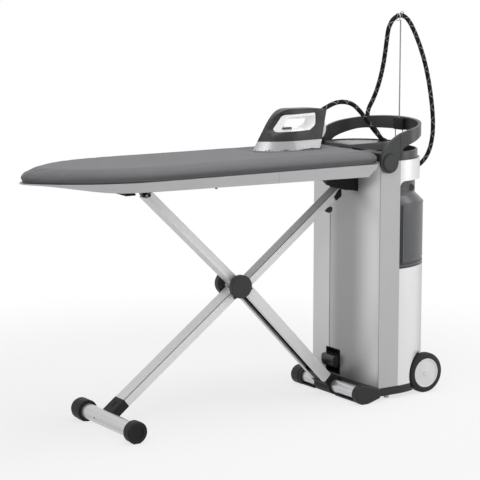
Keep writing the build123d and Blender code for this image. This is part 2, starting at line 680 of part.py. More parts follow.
def inner_leg_bar(low, high, width, depth, mode=Mode.ADD):
    # A square bar along the inner leg
    with BuildSketch(side_plane(FRONT_BAR, INNER_DIRECTION)) as bar:
        with Locations(((low + high) / 2, 0)):
            Rectangle(high - low, depth)
    extrude(bar.sketch, amount=width / 2, both=True, mode=mode)


with BuildPart() as inner_leg:
    inner_leg_bar(INNER_LEG_START, INNER_LEG_STOP, INNER_LEG_WIDTH, INNER_LEG_DEPTH)
    inner_leg_bar(
        INNER_LEG_START - 1,
        INNER_LEG_STOP + 1,
        INNER_LEG_WIDTH - 2 * INNER_LEG_SHEET,
        INNER_LEG_DEPTH - 2 * INNER_LEG_SHEET,
        mode=Mode.SUBTRACT,
    )
    for side in (-1, 1):
        groove_y = side * INNER_LEG_WIDTH / 2
        with BuildSketch(side_plane(FRONT_BAR, INNER_DIRECTION, groove_y)) as groove:
            with Locations(((INNER_LEG_START + INNER_LEG_STOP) / 2, INNER_LEG_DEPTH / 2)):
                Rectangle(INNER_LENGTH, 2 * INNER_GROOVE)
        extrude(groove.sketch, amount=INNER_GROOVE, both=True, mode=Mode.SUBTRACT)
    across(HUB, INNER_LEG_WIDTH, BUSH_RADIUS, mode=Mode.SUBTRACT)
save(inner_leg, "inner_leg")

with BuildPart() as hub_bushes:
    bush_end = HUB_INNER_HALF + HUB_RECESS_DEPTH
    across(HUB, bush_end, BUSH_FLANGE_RADIUS)
    across(HUB, INNER_LEG_WIDTH / 2, BUSH_FLANGE_RADIUS, mode=Mode.SUBTRACT)
    across(HUB, INNER_LEG_WIDTH / 2, BUSH_RADIUS)
    across(HUB, BUSH_MEETING_GAP, BUSH_RADIUS, mode=Mode.SUBTRACT)
    across(HUB, bush_end, HUB_AXLE_RADIUS + RUNNING_FIT, mode=Mode.SUBTRACT)
save(hub_bushes, "hub_bushes")

# Black joint between the inner leg and the front bar, with a pressed-in slot on top
JOINT_WIDTH = 58.0
JOINT_DEPTH = 30.0
JOINT_PLUG = 50.0
JOINT_SLOT_LENGTH = 22.0
JOINT_SLOT_WIDTH = 6.0
JOINT_SLOT_DEPTH = 2.5
with BuildPart() as front_joint:
    inner_leg_bar(0, INNER_LEG_START, JOINT_WIDTH, JOINT_DEPTH)
    inner_leg_bar(
        INNER_LEG_START,
        INNER_LEG_START + JOINT_PLUG,
        INNER_LEG_WIDTH - 2 * INNER_LEG_SHEET,
        INNER_LEG_DEPTH - 2 * INNER_LEG_SHEET,
    )
    slot_plane = side_plane(
        leg_point(FRONT_BAR, INNER_DIRECTION, (FRONT_BAR_RADIUS + INNER_LEG_START) / 2), INNER_DIRECTION
    )
    with BuildSketch(slot_plane) as slot:
        with Locations((0, JOINT_DEPTH / 2)):
            Rectangle(JOINT_SLOT_LENGTH, 2 * JOINT_SLOT_DEPTH)
    extrude(slot.sketch, amount=JOINT_SLOT_WIDTH / 2, both=True, mode=Mode.SUBTRACT)
    across(FRONT_BAR, JOINT_WIDTH, FRONT_BAR_RADIUS, mode=Mode.SUBTRACT)
save(front_joint, "front_joint")

# Front bar and its two end caps, which stand on flat pads
CAP_SOCKET = 25.0
CAP_STEP = 5.0
CAP_LIP = 4.0
CAP_DISH_RADIUS = 20.0
CAP_DISH_DEPTH = 3.0
PAD_WIDTH = 24.0
PAD_HEIGHT = 5.0
BAR_HOLE_RADIUS = 3.0
BAR_HOLE_Y = 28.0
front_bar_half = FOOT_HALF_SPAN - FRONT_CAP_LENGTH + CAP_SOCKET
with BuildPart() as front_bar:
    across(FRONT_BAR, front_bar_half, FRONT_BAR_RADIUS)
    across(FRONT_BAR, front_bar_half, FRONT_BAR_RADIUS - FRONT_BAR_WALL, mode=Mode.SUBTRACT)
    with BuildSketch(Plane.YZ.offset(FRONT_BAR[0])):
        with Locations((BAR_HOLE_Y, FRONT_BAR[1])):
            Circle(BAR_HOLE_RADIUS)
    extrude(amount=-2 * FRONT_BAR_RADIUS, mode=Mode.SUBTRACT)
save(front_bar, "front_bar")


def end_cap(centre, radius, inner_y, outer_y, bore_radius, socket, side):
    # Turned about the bar's axis: rim, chamfered step, dished end and the socket for the bar
    with BuildSketch(Plane.XY.offset(centre[1])) as half:
        with BuildLine():
            Polyline(
                (centre[0], side * (inner_y + socket)),
                (centre[0] + bore_radius, side * (inner_y + socket)),
                (centre[0] + bore_radius, side * inner_y),
                (centre[0] + radius - 1.5, side * inner_y),
                (centre[0] + radius, side * (inner_y + 1.5)),
                (centre[0] + radius, side * (outer_y - CAP_STEP)),
                (centre[0] + radius - CAP_LIP, side * outer_y),
                (centre[0] + CAP_DISH_RADIUS, side * outer_y),
                (centre[0] + CAP_DISH_RADIUS - 1.5, side * (outer_y - CAP_DISH_DEPTH)),
                (centre[0], side * (outer_y - CAP_DISH_DEPTH)),
                close=True,
            )
        make_face()
    turning_axis = Axis((centre[0], 0, centre[1]), (0, 1, 0))
    revolve(half.sketch, axis=turning_axis)


with BuildPart() as front_caps:
    for side in (-1, 1):
        end_cap(
            FRONT_BAR,
            FRONT_CAP_RADIUS,
            FOOT_HALF_SPAN - FRONT_CAP_LENGTH,
            FOOT_HALF_SPAN,
            FRONT_BAR_RADIUS,
            CAP_SOCKET,
            side,
        )
        pad_inner = FOOT_HALF_SPAN - FRONT_CAP_LENGTH + CAP_LIP
        pad_outer = FOOT_HALF_SPAN - CAP_STEP
        block(
            (FRONT_BAR[0] - PAD_WIDTH / 2, FRONT_BAR[0] + PAD_WIDTH / 2),
            (min(side * pad_inner, side * pad_outer), max(side * pad_inner, side * pad_outer)),
            (0, PAD_HEIGHT),
        )
save(front_caps, "front_caps")

# Black end of the inner leg, which turns on the pin of the hinge bracket
EYE_RADIUS = 14.0
END_PLUG = 40.0
with BuildPart() as leg_end:
    inner_leg_bar(INNER_LEG_STOP, INNER_LENGTH, INNER_LEG_WIDTH, INNER_LEG_DEPTH)
    inner_leg_bar(
        INNER_LEG_STOP - END_PLUG,
        INNER_LEG_STOP,
        INNER_LEG_WIDTH - 2 * INNER_LEG_SHEET,
        INNER_LEG_DEPTH - 2 * INNER_LEG_SHEET,
    )
    across(BOARD_PIVOT, INNER_LEG_WIDTH / 2, EYE_RADIUS)
    across(BOARD_PIVOT, INNER_LEG_WIDTH, BOARD_PIN_RADIUS + RUNNING_FIT, mode=Mode.SUBTRACT)
save(leg_end, "leg_end")

with BuildPart() as board_pin:
    across(BOARD_PIVOT, BRACKET_HALF_WIDTH, BOARD_PIN_RADIUS)
    chamfer(board_pin.edges().filter_by(GeomType.CIRCLE), length=1)
save(board_pin, "board_pin")

# Rubber stop under the inner leg
STOP_BEFORE_PIVOT = 115.0
STOP_RADIUS = 9.0
STOP_HEIGHT = 8.0
STOP_Y = -12.0
with BuildPart() as leg_stop:
    stop_at = leg_point(FRONT_BAR, INNER_DIRECTION, INNER_LENGTH - STOP_BEFORE_PIVOT)
    stop_plane = Plane(
        origin=(stop_at[0], STOP_Y, stop_at[1]),
        x_dir=(0, 1, 0),
        z_dir=(INNER_DIRECTION[1], 0, -INNER_DIRECTION[0]),
    )
    with BuildSketch(stop_plane.offset(INNER_LEG_DEPTH / 2)) as pad:
        Circle(STOP_RADIUS)
    extrude(pad.sketch, amount=STOP_HEIGHT, taper=8)
save(leg_stop, "leg_stop")


# Base of the column

TRAY_SHEET = 3.0
APRON_FRONT_Z = 24.0
TROUGH_TOP = 10.0
TROUGH_BOTTOM = 5.0
TROUGH_REACH = 16.0
SLEEVE_NOTCH = 60.0
SLEEVE_CLEARANCE = 6.0
AXLE_CHEEK_Y = 114.0
AXLE_CHEEK_THICKNESS = 6.0
AXLE_CHEEK_HALF_LENGTH = 22.0
ARCH_SHEET = 3.0
WHEEL_CENTRE = (WHEEL_X, WHEEL_RADIUS)
ARCH_INNER = WHEEL_INNER - 4.0
ARCH_RADIUS = WHEEL_RADIUS + WHEEL_ARCH_GAP
ARCH_TOP = WHEEL_RADIUS + ARCH_RADIUS + 2 * ARCH_SHEET
BOILER_AT = (COLUMN_FRONT + 118.0, 60.0)
BOILER_BOTTOM = 44.0
BOILER_FLANGE = 70.0
STAND_INSET = 4.0
STAND_WALL = 6.0


def wheel_discs(inner_y, radius, mode=Mode.ADD):
    # Round blocks about the wheels' axis, from inner_y out past the side of the column
    for side in (-1, 1):
        outer_y = COLUMN_HALF_WIDTH + WHEEL_ARCH_GAP
        low = min(side * inner_y, side * outer_y)
        across_between(WHEEL_CENTRE, low, low + outer_y - inner_y, radius, mode)


with BuildPart() as arch_liners:
    wheel_discs(ARCH_INNER - ARCH_SHEET, ARCH_RADIUS + ARCH_SHEET)
    add(column_form(SHELL_WALL, COLUMN_BOTTOM, ARCH_TOP, COLUMN_FRONT), mode=Mode.INTERSECT)

with BuildPart() as well_blocks:
    wheel_discs(ARCH_INNER - ARCH_SHEET, ARCH_RADIUS + ARCH_SHEET)
    add(column_form(0, TRAY_BOTTOM, COLUMN_BOTTOM, COLUMN_FRONT), mode=Mode.INTERSECT)

# Tray under the column, with wheel arches, an apron and a trough round the base bar
with BuildPart() as base_tray:
    add(column_form(0, TRAY_BOTTOM, COLUMN_BOTTOM, COLUMN_FRONT))
    tray_room_bottom = TRAY_BOTTOM + TRAY_SHEET
    add(
        column_form(TRAY_SHEET, tray_room_bottom, COLUMN_BOTTOM + 1, COLUMN_FRONT + TRAY_SHEET),
        mode=Mode.SUBTRACT,
    )
    add(well_blocks.part)
    add(arch_liners.part)
    wheel_discs(ARCH_INNER, ARCH_RADIUS, Mode.SUBTRACT)
    # Cheeks that hold the axle
    for side in (-1, 1):
        cheek_high = side * AXLE_CHEEK_Y + AXLE_CHEEK_THICKNESS / 2
        with BuildSketch(side_plane(WHEEL_CENTRE, y=cheek_high)) as cheek:
            with BuildLine():
                Polyline(
                    (-AXLE_CHEEK_HALF_LENGTH, tray_room_bottom - WHEEL_RADIUS),
                    (AXLE_CHEEK_HALF_LENGTH, tray_room_bottom - WHEEL_RADIUS),
                    (2 * AXLE_RADIUS, 2 * AXLE_RADIUS),
                    (-2 * AXLE_RADIUS, 2 * AXLE_RADIUS),
                    close=True,
                )
            make_face()
            fillet(cheek.vertices().group_by(Axis.Y)[-1], radius=AXLE_RADIUS)
        extrude(cheek.sketch, amount=AXLE_CHEEK_THICKNESS)
    across(WHEEL_CENTRE, ARCH_INNER + ARCH_SHEET, AXLE_RADIUS, Mode.SUBTRACT)
    # Ring that the boiler's flange stands on
    with BuildSketch(Plane.XY.offset(tray_room_bottom)) as stand:
        with Locations(BOILER_AT):
            Circle(BOILER_FLANGE - STAND_INSET)
            Circle(BOILER_FLANGE - STAND_INSET - STAND_WALL, mode=Mode.SUBTRACT)
    extrude(stand.sketch, amount=BOILER_BOTTOM - tray_room_bottom)
    with BuildSketch(side_plane((0, 0))) as apron:
        with BuildLine():
            Polyline(
                (COLUMN_FRONT, COLUMN_BOTTOM),
                (COLUMN_FRONT - APRON_REACH, APRON_FRONT_Z),
                (COLUMN_FRONT - APRON_REACH, TROUGH_TOP),
                (BASE_PIVOT[0] - TROUGH_REACH, TROUGH_TOP),
                (BASE_PIVOT[0] - TROUGH_REACH, TROUGH_BOTTOM),
                (COLUMN_FRONT - APRON_REACH + TROUGH_BOTTOM, TROUGH_BOTTOM),
                (COLUMN_FRONT, TRAY_BOTTOM),
                close=True,
            )
        make_face()
    extrude(apron.sketch, amount=BASE_FOOT_INNER, both=True)
    across(BASE_PIVOT, SLEEVE_NOTCH, SLEEVE_RADIUS + SLEEVE_CLEARANCE, Mode.SUBTRACT)
save(base_tray, "base_tray")

# Steel base bar
with BuildPart() as base_bar:
    across(BASE_PIVOT, BASE_FOOT_HALF_SPAN - CAP_STEP, BASE_BAR_RADIUS)
    across(BASE_PIVOT, BASE_FOOT_HALF_SPAN, BASE_BAR_RADIUS - BASE_BAR_WALL, Mode.SUBTRACT)
save(base_bar, "base_bar")

# Feet on both ends of the base bar, each with an arm back to the column
FOOT_COLLAR = 8.0
FOOT_COLLAR_STEP = 3.0
FOOT_ARM_TOP = 46.0
FOOT_ARM_BOTTOM = 14.0
FOOT_TOE = 18.0
FOOT_CHAMFER = 3.0
with BuildPart() as base_feet:
    foot_inner = BASE_FOOT_INNER + FOOT_COLLAR
    foot_length = BASE_FOOT_HALF_SPAN - foot_inner - FOOT_CHAMFER
    across_between(BASE_PIVOT, -foot_inner, -BASE_FOOT_INNER, BASE_FOOT_RADIUS - FOOT_COLLAR_STEP)
    with BuildSketch(side_plane(BASE_PIVOT, y=-foot_inner)) as outline:
        with BuildLine():
            Polyline(
                (0, BASE_FOOT_RADIUS),
                (BASE_PIVOT_REACH, FOOT_ARM_TOP - BASE_PIVOT[1]),
                (BASE_PIVOT_REACH, FOOT_ARM_BOTTOM - BASE_PIVOT[1]),
                (FOOT_TOE, -BASE_FOOT_RADIUS),
                (0, -BASE_FOOT_RADIUS),
            )
            ThreePointArc((0, -BASE_FOOT_RADIUS), (-BASE_FOOT_RADIUS, 0), (0, BASE_FOOT_RADIUS))
        make_face()
    extrude(outline.sketch, amount=foot_length)
    end_face = base_feet.faces().sort_by(Axis.Y)[0]
    extrude(end_face, amount=FOOT_CHAMFER, taper=45)
    mirror(about=Plane.XZ)
    across(BASE_PIVOT, BASE_FOOT_HALF_SPAN - CAP_STEP, BASE_BAR_RADIUS, Mode.SUBTRACT)
save(base_feet, "base_feet")

# Small pale pads under the front corners of the tray
CORNER_PAD_RADIUS = 9.0
CORNER_PAD_BOTTOM = 4.0
CORNER_PAD_REACH = 50.0
with BuildPart() as corner_pads:
    with BuildSketch(Plane.XY.offset(CORNER_PAD_BOTTOM)):
        with Locations((COLUMN_FRONT + CORNER_PAD_REACH, 0)):
            with GridLocations(1, 2 * (COLUMN_HALF_WIDTH - 2 * CORNER_PAD_RADIUS), 1, 2):
                Circle(CORNER_PAD_RADIUS)
    extrude(amount=TRAY_BOTTOM - CORNER_PAD_BOTTOM)
save(corner_pads, "corner_pads")

# Wheels, one axle through both
TYRE_SHOULDER = 7.0
RIM_DEPTH = 20.0
RIM_FLANGE = 4.0
DISC_THICKNESS = 4.0
DISC_RECESS = 3.0
HUB_BOSS_RADIUS = 14.0
WHEEL_BOSS_RADIUS = 10.0
AXLE_END_COVER = 5.0
with BuildPart() as wheel_axle:
    across(WHEEL_CENTRE, WHEEL_OUTER - DISC_RECESS - AXLE_END_COVER, AXLE_RADIUS)
    chamfer(wheel_axle.edges().filter_by(GeomType.CIRCLE), length=1)
save(wheel_axle, "wheel_axle")


def turned(points, side):
    # Turns a closed outline of (radius, |y|) points about the wheels' axis
    with BuildSketch(Plane.XY.offset(WHEEL_CENTRE[1])) as half:
        with BuildLine():
            Polyline(*[(WHEEL_CENTRE[0] + radius, side * y) for radius, y in points], close=True)
        make_face()
    revolve(half.sketch, axis=Axis((WHEEL_CENTRE[0], 0, WHEEL_CENTRE[1]), (0, 1, 0)))


def wheel(side, name):
    disc_outer = WHEEL_OUTER - DISC_RECESS
    disc_inner = disc_outer - DISC_THICKNESS
    with BuildPart() as tyre:
        turned(
            [
                (RIM_RADIUS, WHEEL_INNER),
                (WHEEL_RADIUS - TYRE_SHOULDER, WHEEL_INNER),
                (WHEEL_RADIUS - TYRE_SHOULDER / 4, WHEEL_INNER + TYRE_SHOULDER / 3),
                (WHEEL_RADIUS, WHEEL_INNER + TYRE_SHOULDER),
                (WHEEL_RADIUS, WHEEL_OUTER - TYRE_SHOULDER),
                (WHEEL_RADIUS - TYRE_SHOULDER / 4, WHEEL_OUTER - TYRE_SHOULDER / 3),
                (WHEEL_RADIUS - TYRE_SHOULDER, WHEEL_OUTER),
                (RIM_RADIUS, WHEEL_OUTER),
            ],
            side,
        )
    save(tyre, f"tyre_{name}")
    with BuildPart() as disc:
        turned(
            [
                (0, WHEEL_OUTER),
                (WHEEL_BOSS_RADIUS, WHEEL_OUTER),
                (WHEEL_BOSS_RADIUS, disc_outer),
                (RIM_RADIUS - RIM_FLANGE, disc_outer),
                (RIM_RADIUS - RIM_FLANGE, WHEEL_OUTER),
                (RIM_RADIUS, WHEEL_OUTER),
                (RIM_RADIUS, WHEEL_OUTER - RIM_DEPTH),
                (RIM_RADIUS - RIM_FLANGE, WHEEL_OUTER - RIM_DEPTH),
                (RIM_RADIUS - RIM_FLANGE, disc_inner),
                (HUB_BOSS_RADIUS, disc_inner),
                (HUB_BOSS_RADIUS, WHEEL_INNER),
                (0, WHEEL_INNER),
            ],
            side,
        )
        across(WHEEL_CENTRE, disc_outer - AXLE_END_COVER, AXLE_RADIUS + RUNNING_FIT, Mode.SUBTRACT)
    save(disc, f"wheel_{name}")


wheel(-1, "near")
wheel(1, "far")


# Column

# Front panel: one folded sheet with a wide groove beside its middle
with BuildPart() as front_panel:
    face_x = COLUMN_FRONT
    back_x = COLUMN_FRONT + PANEL_SHEET
    edge_x = COLUMN_FRONT + PANEL_EDGE_DEPTH
    inner_half = PANEL_HALF_WIDTH - PANEL_SHEET
    with BuildSketch(Plane.XY.offset(COLUMN_BOTTOM)):
        with BuildLine():
            Polyline(
                (edge_x, -PANEL_HALF_WIDTH),
                (face_x, -PANEL_HALF_WIDTH),
                (face_x, PANEL_GROOVE_FROM),
                (face_x + PANEL_GROOVE_DEPTH, PANEL_GROOVE_FROM),
                (face_x + PANEL_GROOVE_DEPTH, PANEL_GROOVE_TO),
                (face_x, PANEL_GROOVE_TO),
                (face_x, PANEL_HALF_WIDTH),
                (edge_x, PANEL_HALF_WIDTH),
                (edge_x, inner_half),
                (back_x, inner_half),
                (back_x, PANEL_GROOVE_TO + PANEL_SHEET),
                (back_x + PANEL_GROOVE_DEPTH, PANEL_GROOVE_TO + PANEL_SHEET),
                (back_x + PANEL_GROOVE_DEPTH, PANEL_GROOVE_FROM - PANEL_SHEET),
                (back_x, PANEL_GROOVE_FROM - PANEL_SHEET),
                (back_x, -inner_half),
                (edge_x, -inner_half),
                close=True,
            )
        make_face()
    extrude(amount=COLUMN_TOP - COLUMN_BOTTOM)
    for half_cut, low, high in (
        ((-RECESS_HALF_WIDTH, RECESS_HALF_WIDTH), COLUMN_TOP - RECESS_BELOW_TOP, COLUMN_TOP + 1),
        ((LATCH_FROM, LATCH_TO), LATCH_BOTTOM, LATCH_TOP),
    ):
        block((COLUMN_FRONT - 1, edge_x), half_cut, (low, high), Mode.SUBTRACT)
save(front_panel, "front_panel")

# Black liner of the recess that takes the hinge bracket when the board stands high
DECK_PLATE = 3.0
with BuildPart() as recess_liner:
    liner_front = COLUMN_FRONT + PANEL_GROOVE_DEPTH + PANEL_SHEET
    recess_bottom = COLUMN_TOP - RECESS_BELOW_TOP
    block(
        (liner_front, COLUMN_FRONT + RECESS_DEPTH + LINER_WALL),
        (-RECESS_HALF_WIDTH - LINER_WALL, RECESS_HALF_WIDTH + LINER_WALL),
        (recess_bottom - LINER_WALL, COLUMN_TOP - DECK_PLATE),
    )
    block(
        (liner_front - 1, COLUMN_FRONT + RECESS_DEPTH),
        (-RECESS_HALF_WIDTH, RECESS_HALF_WIDTH),
        (recess_bottom, COLUMN_TOP),
        Mode.SUBTRACT,
    )

# Side pillars between the panel and the shell
PILLAR_SHEET = 3.0
PILLAR_RETURN = 13.0


def pillar(side):
    outer = side * COLUMN_HALF_WIDTH
    inner = side * (COLUMN_HALF_WIDTH - PILLAR_SHEET)
    lip = side * (COLUMN_HALF_WIDTH - PILLAR_RETURN)
    front_return = PILLAR_FRONT + PILLAR_RECESS
    with BuildSketch(Plane.XY.offset(COLUMN_BOTTOM)) as section:
        with BuildLine():
            Polyline(
                (PILLAR_FRONT, outer),
                (SHELL_FRONT, outer),
                (SHELL_FRONT, lip),
                (SHELL_FRONT - PILLAR_SHEET, lip),
                (SHELL_FRONT - PILLAR_SHEET, inner),
                (front_return + PILLAR_SHEET, inner),
                (front_return + PILLAR_SHEET, lip),
                (front_return, lip),
                (front_return, inner),
                (PILLAR_FRONT, inner),
                close=True,
            )
        make_face()
    extrude(section.sketch, amount=COLUMN_TOP - COLUMN_BOTTOM)


with BuildPart() as side_pillars:
    pillar(-1)
    pillar(1)
save(side_pillars, "side_pillars")

# Rear shell with the tank window and the wheel arches
GLAND_Y = 30.0
GLAND_Z = COLUMN_TOP - 65.0
GLAND_RADIUS = 13.0
INLET_Y = 40.0
INLET_Z = 120.0
INLET_HALF_WIDTH = 16.0
INLET_HALF_HEIGHT = 14.0


def tank_window(gap):
    # The prism that the window cuts, drawn in by a gap all round
    left = TANK_X + gap
    right = COLUMN_REAR + TANK_FRONT
    bottom = TANK_BOTTOM + gap
    top = TANK_TOP - gap
    with BuildPart() as prism:
        with BuildSketch(side_plane((0, 0), y=-TANK_INNER_EDGE - gap)) as window:
            with BuildLine():
                Polyline((left, bottom), (right, bottom), (right, top), (left, top), close=True)
            make_face()
            corner = window.vertices().group_by(Axis.X)[0].sort_by(Axis.Y)[-1]
            fillet(corner, radius=TANK_WINDOW_CORNER - gap)
        extrude(window.sketch, amount=COLUMN_HALF_WIDTH)
    return prism.part


with BuildPart() as rear_shell:
    add(column_form(0, COLUMN_BOTTOM, COLUMN_TOP))
    add(column_form(SHELL_WALL, COLUMN_BOTTOM - 1, COLUMN_TOP + 1), mode=Mode.SUBTRACT)
    add(tank_window(0), mode=Mode.SUBTRACT)
    wheel_discs(ARCH_INNER, ARCH_RADIUS, Mode.SUBTRACT)
    with BuildSketch(Plane.YZ.offset(SHELL_FRONT)) as gland_hole:
        with Locations((GLAND_Y, GLAND_Z)):
            Circle(GLAND_RADIUS)
    extrude(gland_hole.sketch, amount=COLUMN_LENGTH, mode=Mode.SUBTRACT)
    block(
        (SHELL_FRONT + COLUMN_HALF_WIDTH / 2, COLUMN_REAR + 1),
        (INLET_Y - INLET_HALF_WIDTH, INLET_Y + INLET_HALF_WIDTH),
        (INLET_Z - INLET_HALF_HEIGHT, INLET_Z + INLET_HALF_HEIGHT),
        Mode.SUBTRACT,
    )
    across(WHEEL_CENTRE, COLUMN_HALF_WIDTH, AXLE_RADIUS, Mode.SUBTRACT)
save(rear_shell, "rear_shell")

# Bay behind the tank window: floor, ceiling and two inner walls
BAY_WALL = 3.0
with BuildPart() as tank_bay:
    add(column_form(SHELL_WALL, COLUMN_BOTTOM, COLUMN_TOP))
    block(
        (TANK_X - BAY_WALL, COLUMN_REAR),
        (-COLUMN_HALF_WIDTH, -TANK_INNER_EDGE + BAY_WALL),
        (TANK_BOTTOM - BAY_WALL, TANK_TOP + BAY_WALL),
        Mode.INTERSECT,
    )
    add(tank_window(0), mode=Mode.SUBTRACT)
save(tank_bay, "tank_bay")

# Water tank: a thin shell whose outside carries on the lines of the column
TANK_INSET = 0.6
TANK_NECK_Z = 676.0
TANK_NECK_INSET = 13.0
TANK_RIBS = 7
TANK_RIB_PITCH = 9.0
TANK_RIB_WIDTH = 2.5
TANK_RIB_HEIGHT = 2.0
TANK_RIB_START = 34.0
TANK_RIB_MARGIN = 9.0
with BuildPart() as tank_room:
    add(column_form(TANK_INSET + TANK_WALL, COLUMN_BOTTOM, COLUMN_TOP))
    add(tank_window(TANK_GAP + TANK_WALL), mode=Mode.INTERSECT)
    block(
        (TANK_X, COLUMN_REAR),
        (-COLUMN_HALF_WIDTH, 0),
        (TANK_BOTTOM, TANK_NECK_Z - TANK_WALL),
        Mode.INTERSECT,
    )

with BuildPart() as rib_form:
    add(column_form(TANK_NECK_INSET - TANK_RIB_HEIGHT, COLUMN_BOTTOM, COLUMN_TOP))
    with BuildSketch(Plane.XY.offset(TANK_NECK_Z)) as ribs:
        with Locations((TANK_X + TANK_RIB_START + TANK_RIBS * TANK_RIB_PITCH / 2, -COLUMN_HALF_WIDTH / 2)):
            with GridLocations(TANK_RIB_PITCH, 1, TANK_RIBS, 1):
                Rectangle(TANK_RIB_WIDTH, COLUMN_HALF_WIDTH)
    extrude(ribs.sketch, amount=TANK_TOP - TANK_NECK_Z - TANK_RIB_MARGIN, mode=Mode.INTERSECT)

with BuildPart() as water_tank:
    add(column_form(TANK_INSET, COLUMN_BOTTOM, COLUMN_TOP))
    with BuildSketch(Plane.XY.offset(TANK_NECK_Z)) as above:
        Rectangle(4 * COLUMN_REAR, 4 * COLUMN_HALF_WIDTH)
    extrude(above.sketch, amount=COLUMN_TOP, mode=Mode.SUBTRACT)
    add(column_form(TANK_NECK_INSET, COLUMN_BOTTOM, COLUMN_TOP))
    add(rib_form.part)
    add(tank_window(TANK_GAP), mode=Mode.INTERSECT)
    add(tank_room.part, mode=Mode.SUBTRACT)
save(water_tank, "water_tank")

# Filler cap on the neck of the tank
CAP_REACH = 27.0
CAP_Z = 712.0
CAP_RADIUS = 12.0
CAP_PROUD = 7.0
with BuildPart() as tank_cap:
    cap_x = TANK_X + CAP_REACH
    cap_ratio = (cap_x - SHELL_FRONT) / (SHELL_TOP_REAR - TANK_NECK_INSET - SHELL_FRONT)
    cap_face = -(COLUMN_HALF_WIDTH - TANK_NECK_INSET) * sqrt(1 - cap_ratio**2)
    across_between((cap_x, CAP_Z), cap_face - CAP_PROUD, cap_face + CAP_RADIUS, CAP_RADIUS)
    add(water_tank.part, mode=Mode.SUBTRACT)
save(tank_cap, "tank_cap")

# Deck on top of the column, notched at the front for the hinge bracket
DECK_BASE_FRONT = COLUMN_FRONT + PANEL_EDGE_DEPTH
DECK_POCKET_FRONT = COLUMN_FRONT + RECESS_DEPTH + DECK_WALL
DECK_EDGE = 3.0
BUTTON_REACH = 122.0
BUTTON_SIDE = 112.0
BUTTON_AT = (COLUMN_FRONT + BUTTON_REACH, -BUTTON_SIDE)
BUTTON_RADIUS = 12.0
BUTTON_WELL = 3.0
BUTTON_PROUD = 2.0
BUTTON_GAP = 0.3
with BuildPart() as top_deck:
    with BuildSketch(Plane.XY.offset(COLUMN_TOP)):
        add(column_outline(DECK_INSET, SHELL_TOP_REAR, PILLAR_FRONT))
    extrude(amount=DECK_RISE)
    chamfer(top_deck.faces().sort_by(Axis.Z)[-1].edges(), length=DECK_EDGE / 2)
    with BuildSketch(Plane.XY.offset(COLUMN_TOP - DECK_PLATE)):
        add(column_outline(SHELL_WALL, SHELL_TOP_REAR, DECK_BASE_FRONT))
    extrude(amount=DECK_PLATE)
    with BuildSketch(Plane.XY.offset(DECK_FLOOR)):
        add(column_outline(DECK_INSET + DECK_WALL, SHELL_TOP_REAR, DECK_POCKET_FRONT))
    extrude(amount=DECK_RISE, mode=Mode.SUBTRACT)
    block(
        (COLUMN_FRONT - 1, COLUMN_FRONT + RECESS_DEPTH),
        (-RECESS_HALF_WIDTH, RECESS_HALF_WIDTH),
        (COLUMN_TOP - DECK_PLATE - 1, DECK_TOP + 1),
        Mode.SUBTRACT,
    )
    with BuildSketch(Plane.XY.offset(DECK_FLOOR - BUTTON_WELL)):
        with Locations(BUTTON_AT):
            Circle(BUTTON_RADIUS + BUTTON_GAP)
    extrude(amount=DECK_RISE, mode=Mode.SUBTRACT)
    add(side_pillars.part, mode=Mode.SUBTRACT)
save(top_deck, "top_deck")

# Power button, pressed into a shallow well of the deck
BUTTON_TRAVEL = 1.5
with BuildPart() as power_button:
    with BuildSketch(Plane.XY.offset(DECK_FLOOR - BUTTON_WELL + BUTTON_TRAVEL + BUTTON_GAP)):
        with Locations(BUTTON_AT):
            Circle(BUTTON_RADIUS)
    extrude(amount=BUTTON_WELL - BUTTON_TRAVEL - BUTTON_GAP + BUTTON_PROUD)
    fillet(power_button.faces().sort_by(Axis.Z)[-1].edges(), radius=1)
save(power_button, "power_button")

# Carrying handle: a band that runs round the back of the deck, in a bow and two arms
HANDLE_SEAM_REACH = 41.0
HANDLE_SEAM_GAP = 0.4
HANDLE_TOP_LINE = ((-36.0, 0.0), (-4.0, 64.0), (48.0, 95.0), (138.0, 117.0), (250.0, 135.0))
HANDLE_LOW_LINE = ((36.0, 0.0), (88.0, 60.0), (138.0, 77.0), (250.0, 90.0))


def handle_ring(inset):
    half = HANDLE_HALF_WIDTH - inset
    start_x = COLUMN_FRONT + HANDLE_BOW_START
    with BuildSketch() as ring:
        with BuildLine():
            EllipticalCenterArc(
                (start_x, 0), HANDLE_BOW_DEPTH - inset, half, start_angle=-90, arc_size=180
            )
            Polyline(
                (start_x, half),
                (COLUMN_FRONT - HANDLE_DISC_RADIUS, half),
                (COLUMN_FRONT - HANDLE_DISC_RADIUS, -half),
                (start_x, -half),
            )
        make_face()
    return ring.sketch


def handle_form():
    # The band in plan, cut to its side view
    with BuildPart() as form:
        low_z = HANDLE_PIVOT[1] - 2 * HANDLE_DISC_RADIUS
        extrude(Plane.XY.offset(low_z) * (handle_ring(0) - handle_ring(HANDLE_BAND)), amount=2 * HANDLE_BACK_TOP)
        with BuildSketch(side_plane(HANDLE_PIVOT)) as profile:
            with BuildLine():
                top = Spline(*HANDLE_TOP_LINE, tangents=((0, 1), (1, 0.15)))
                low = Spline(*HANDLE_LOW_LINE, tangents=((0, 1), (1, 0.1)))
                Line(top @ 1, low @ 1)
                ThreePointArc(top @ 0, (0, -HANDLE_DISC_RADIUS), low @ 0)
            make_face()
        extrude(profile.sketch, amount=HANDLE_HALF_WIDTH, both=True, mode=Mode.INTERSECT)
    return form.part


HANDLE_SEAM_X = HANDLE_PIVOT[0] + HANDLE_SEAM_REACH
with BuildPart() as handle_bow:
    add(handle_form())
    block(
        (HANDLE_SEAM_X + HANDLE_SEAM_GAP, 2 * COLUMN_REAR),
        (-COLUMN_REAR, COLUMN_REAR),
        (0, 2 * COLUMN_TOP),
        Mode.INTERSECT,
    )
save(handle_bow, "handle_bow")

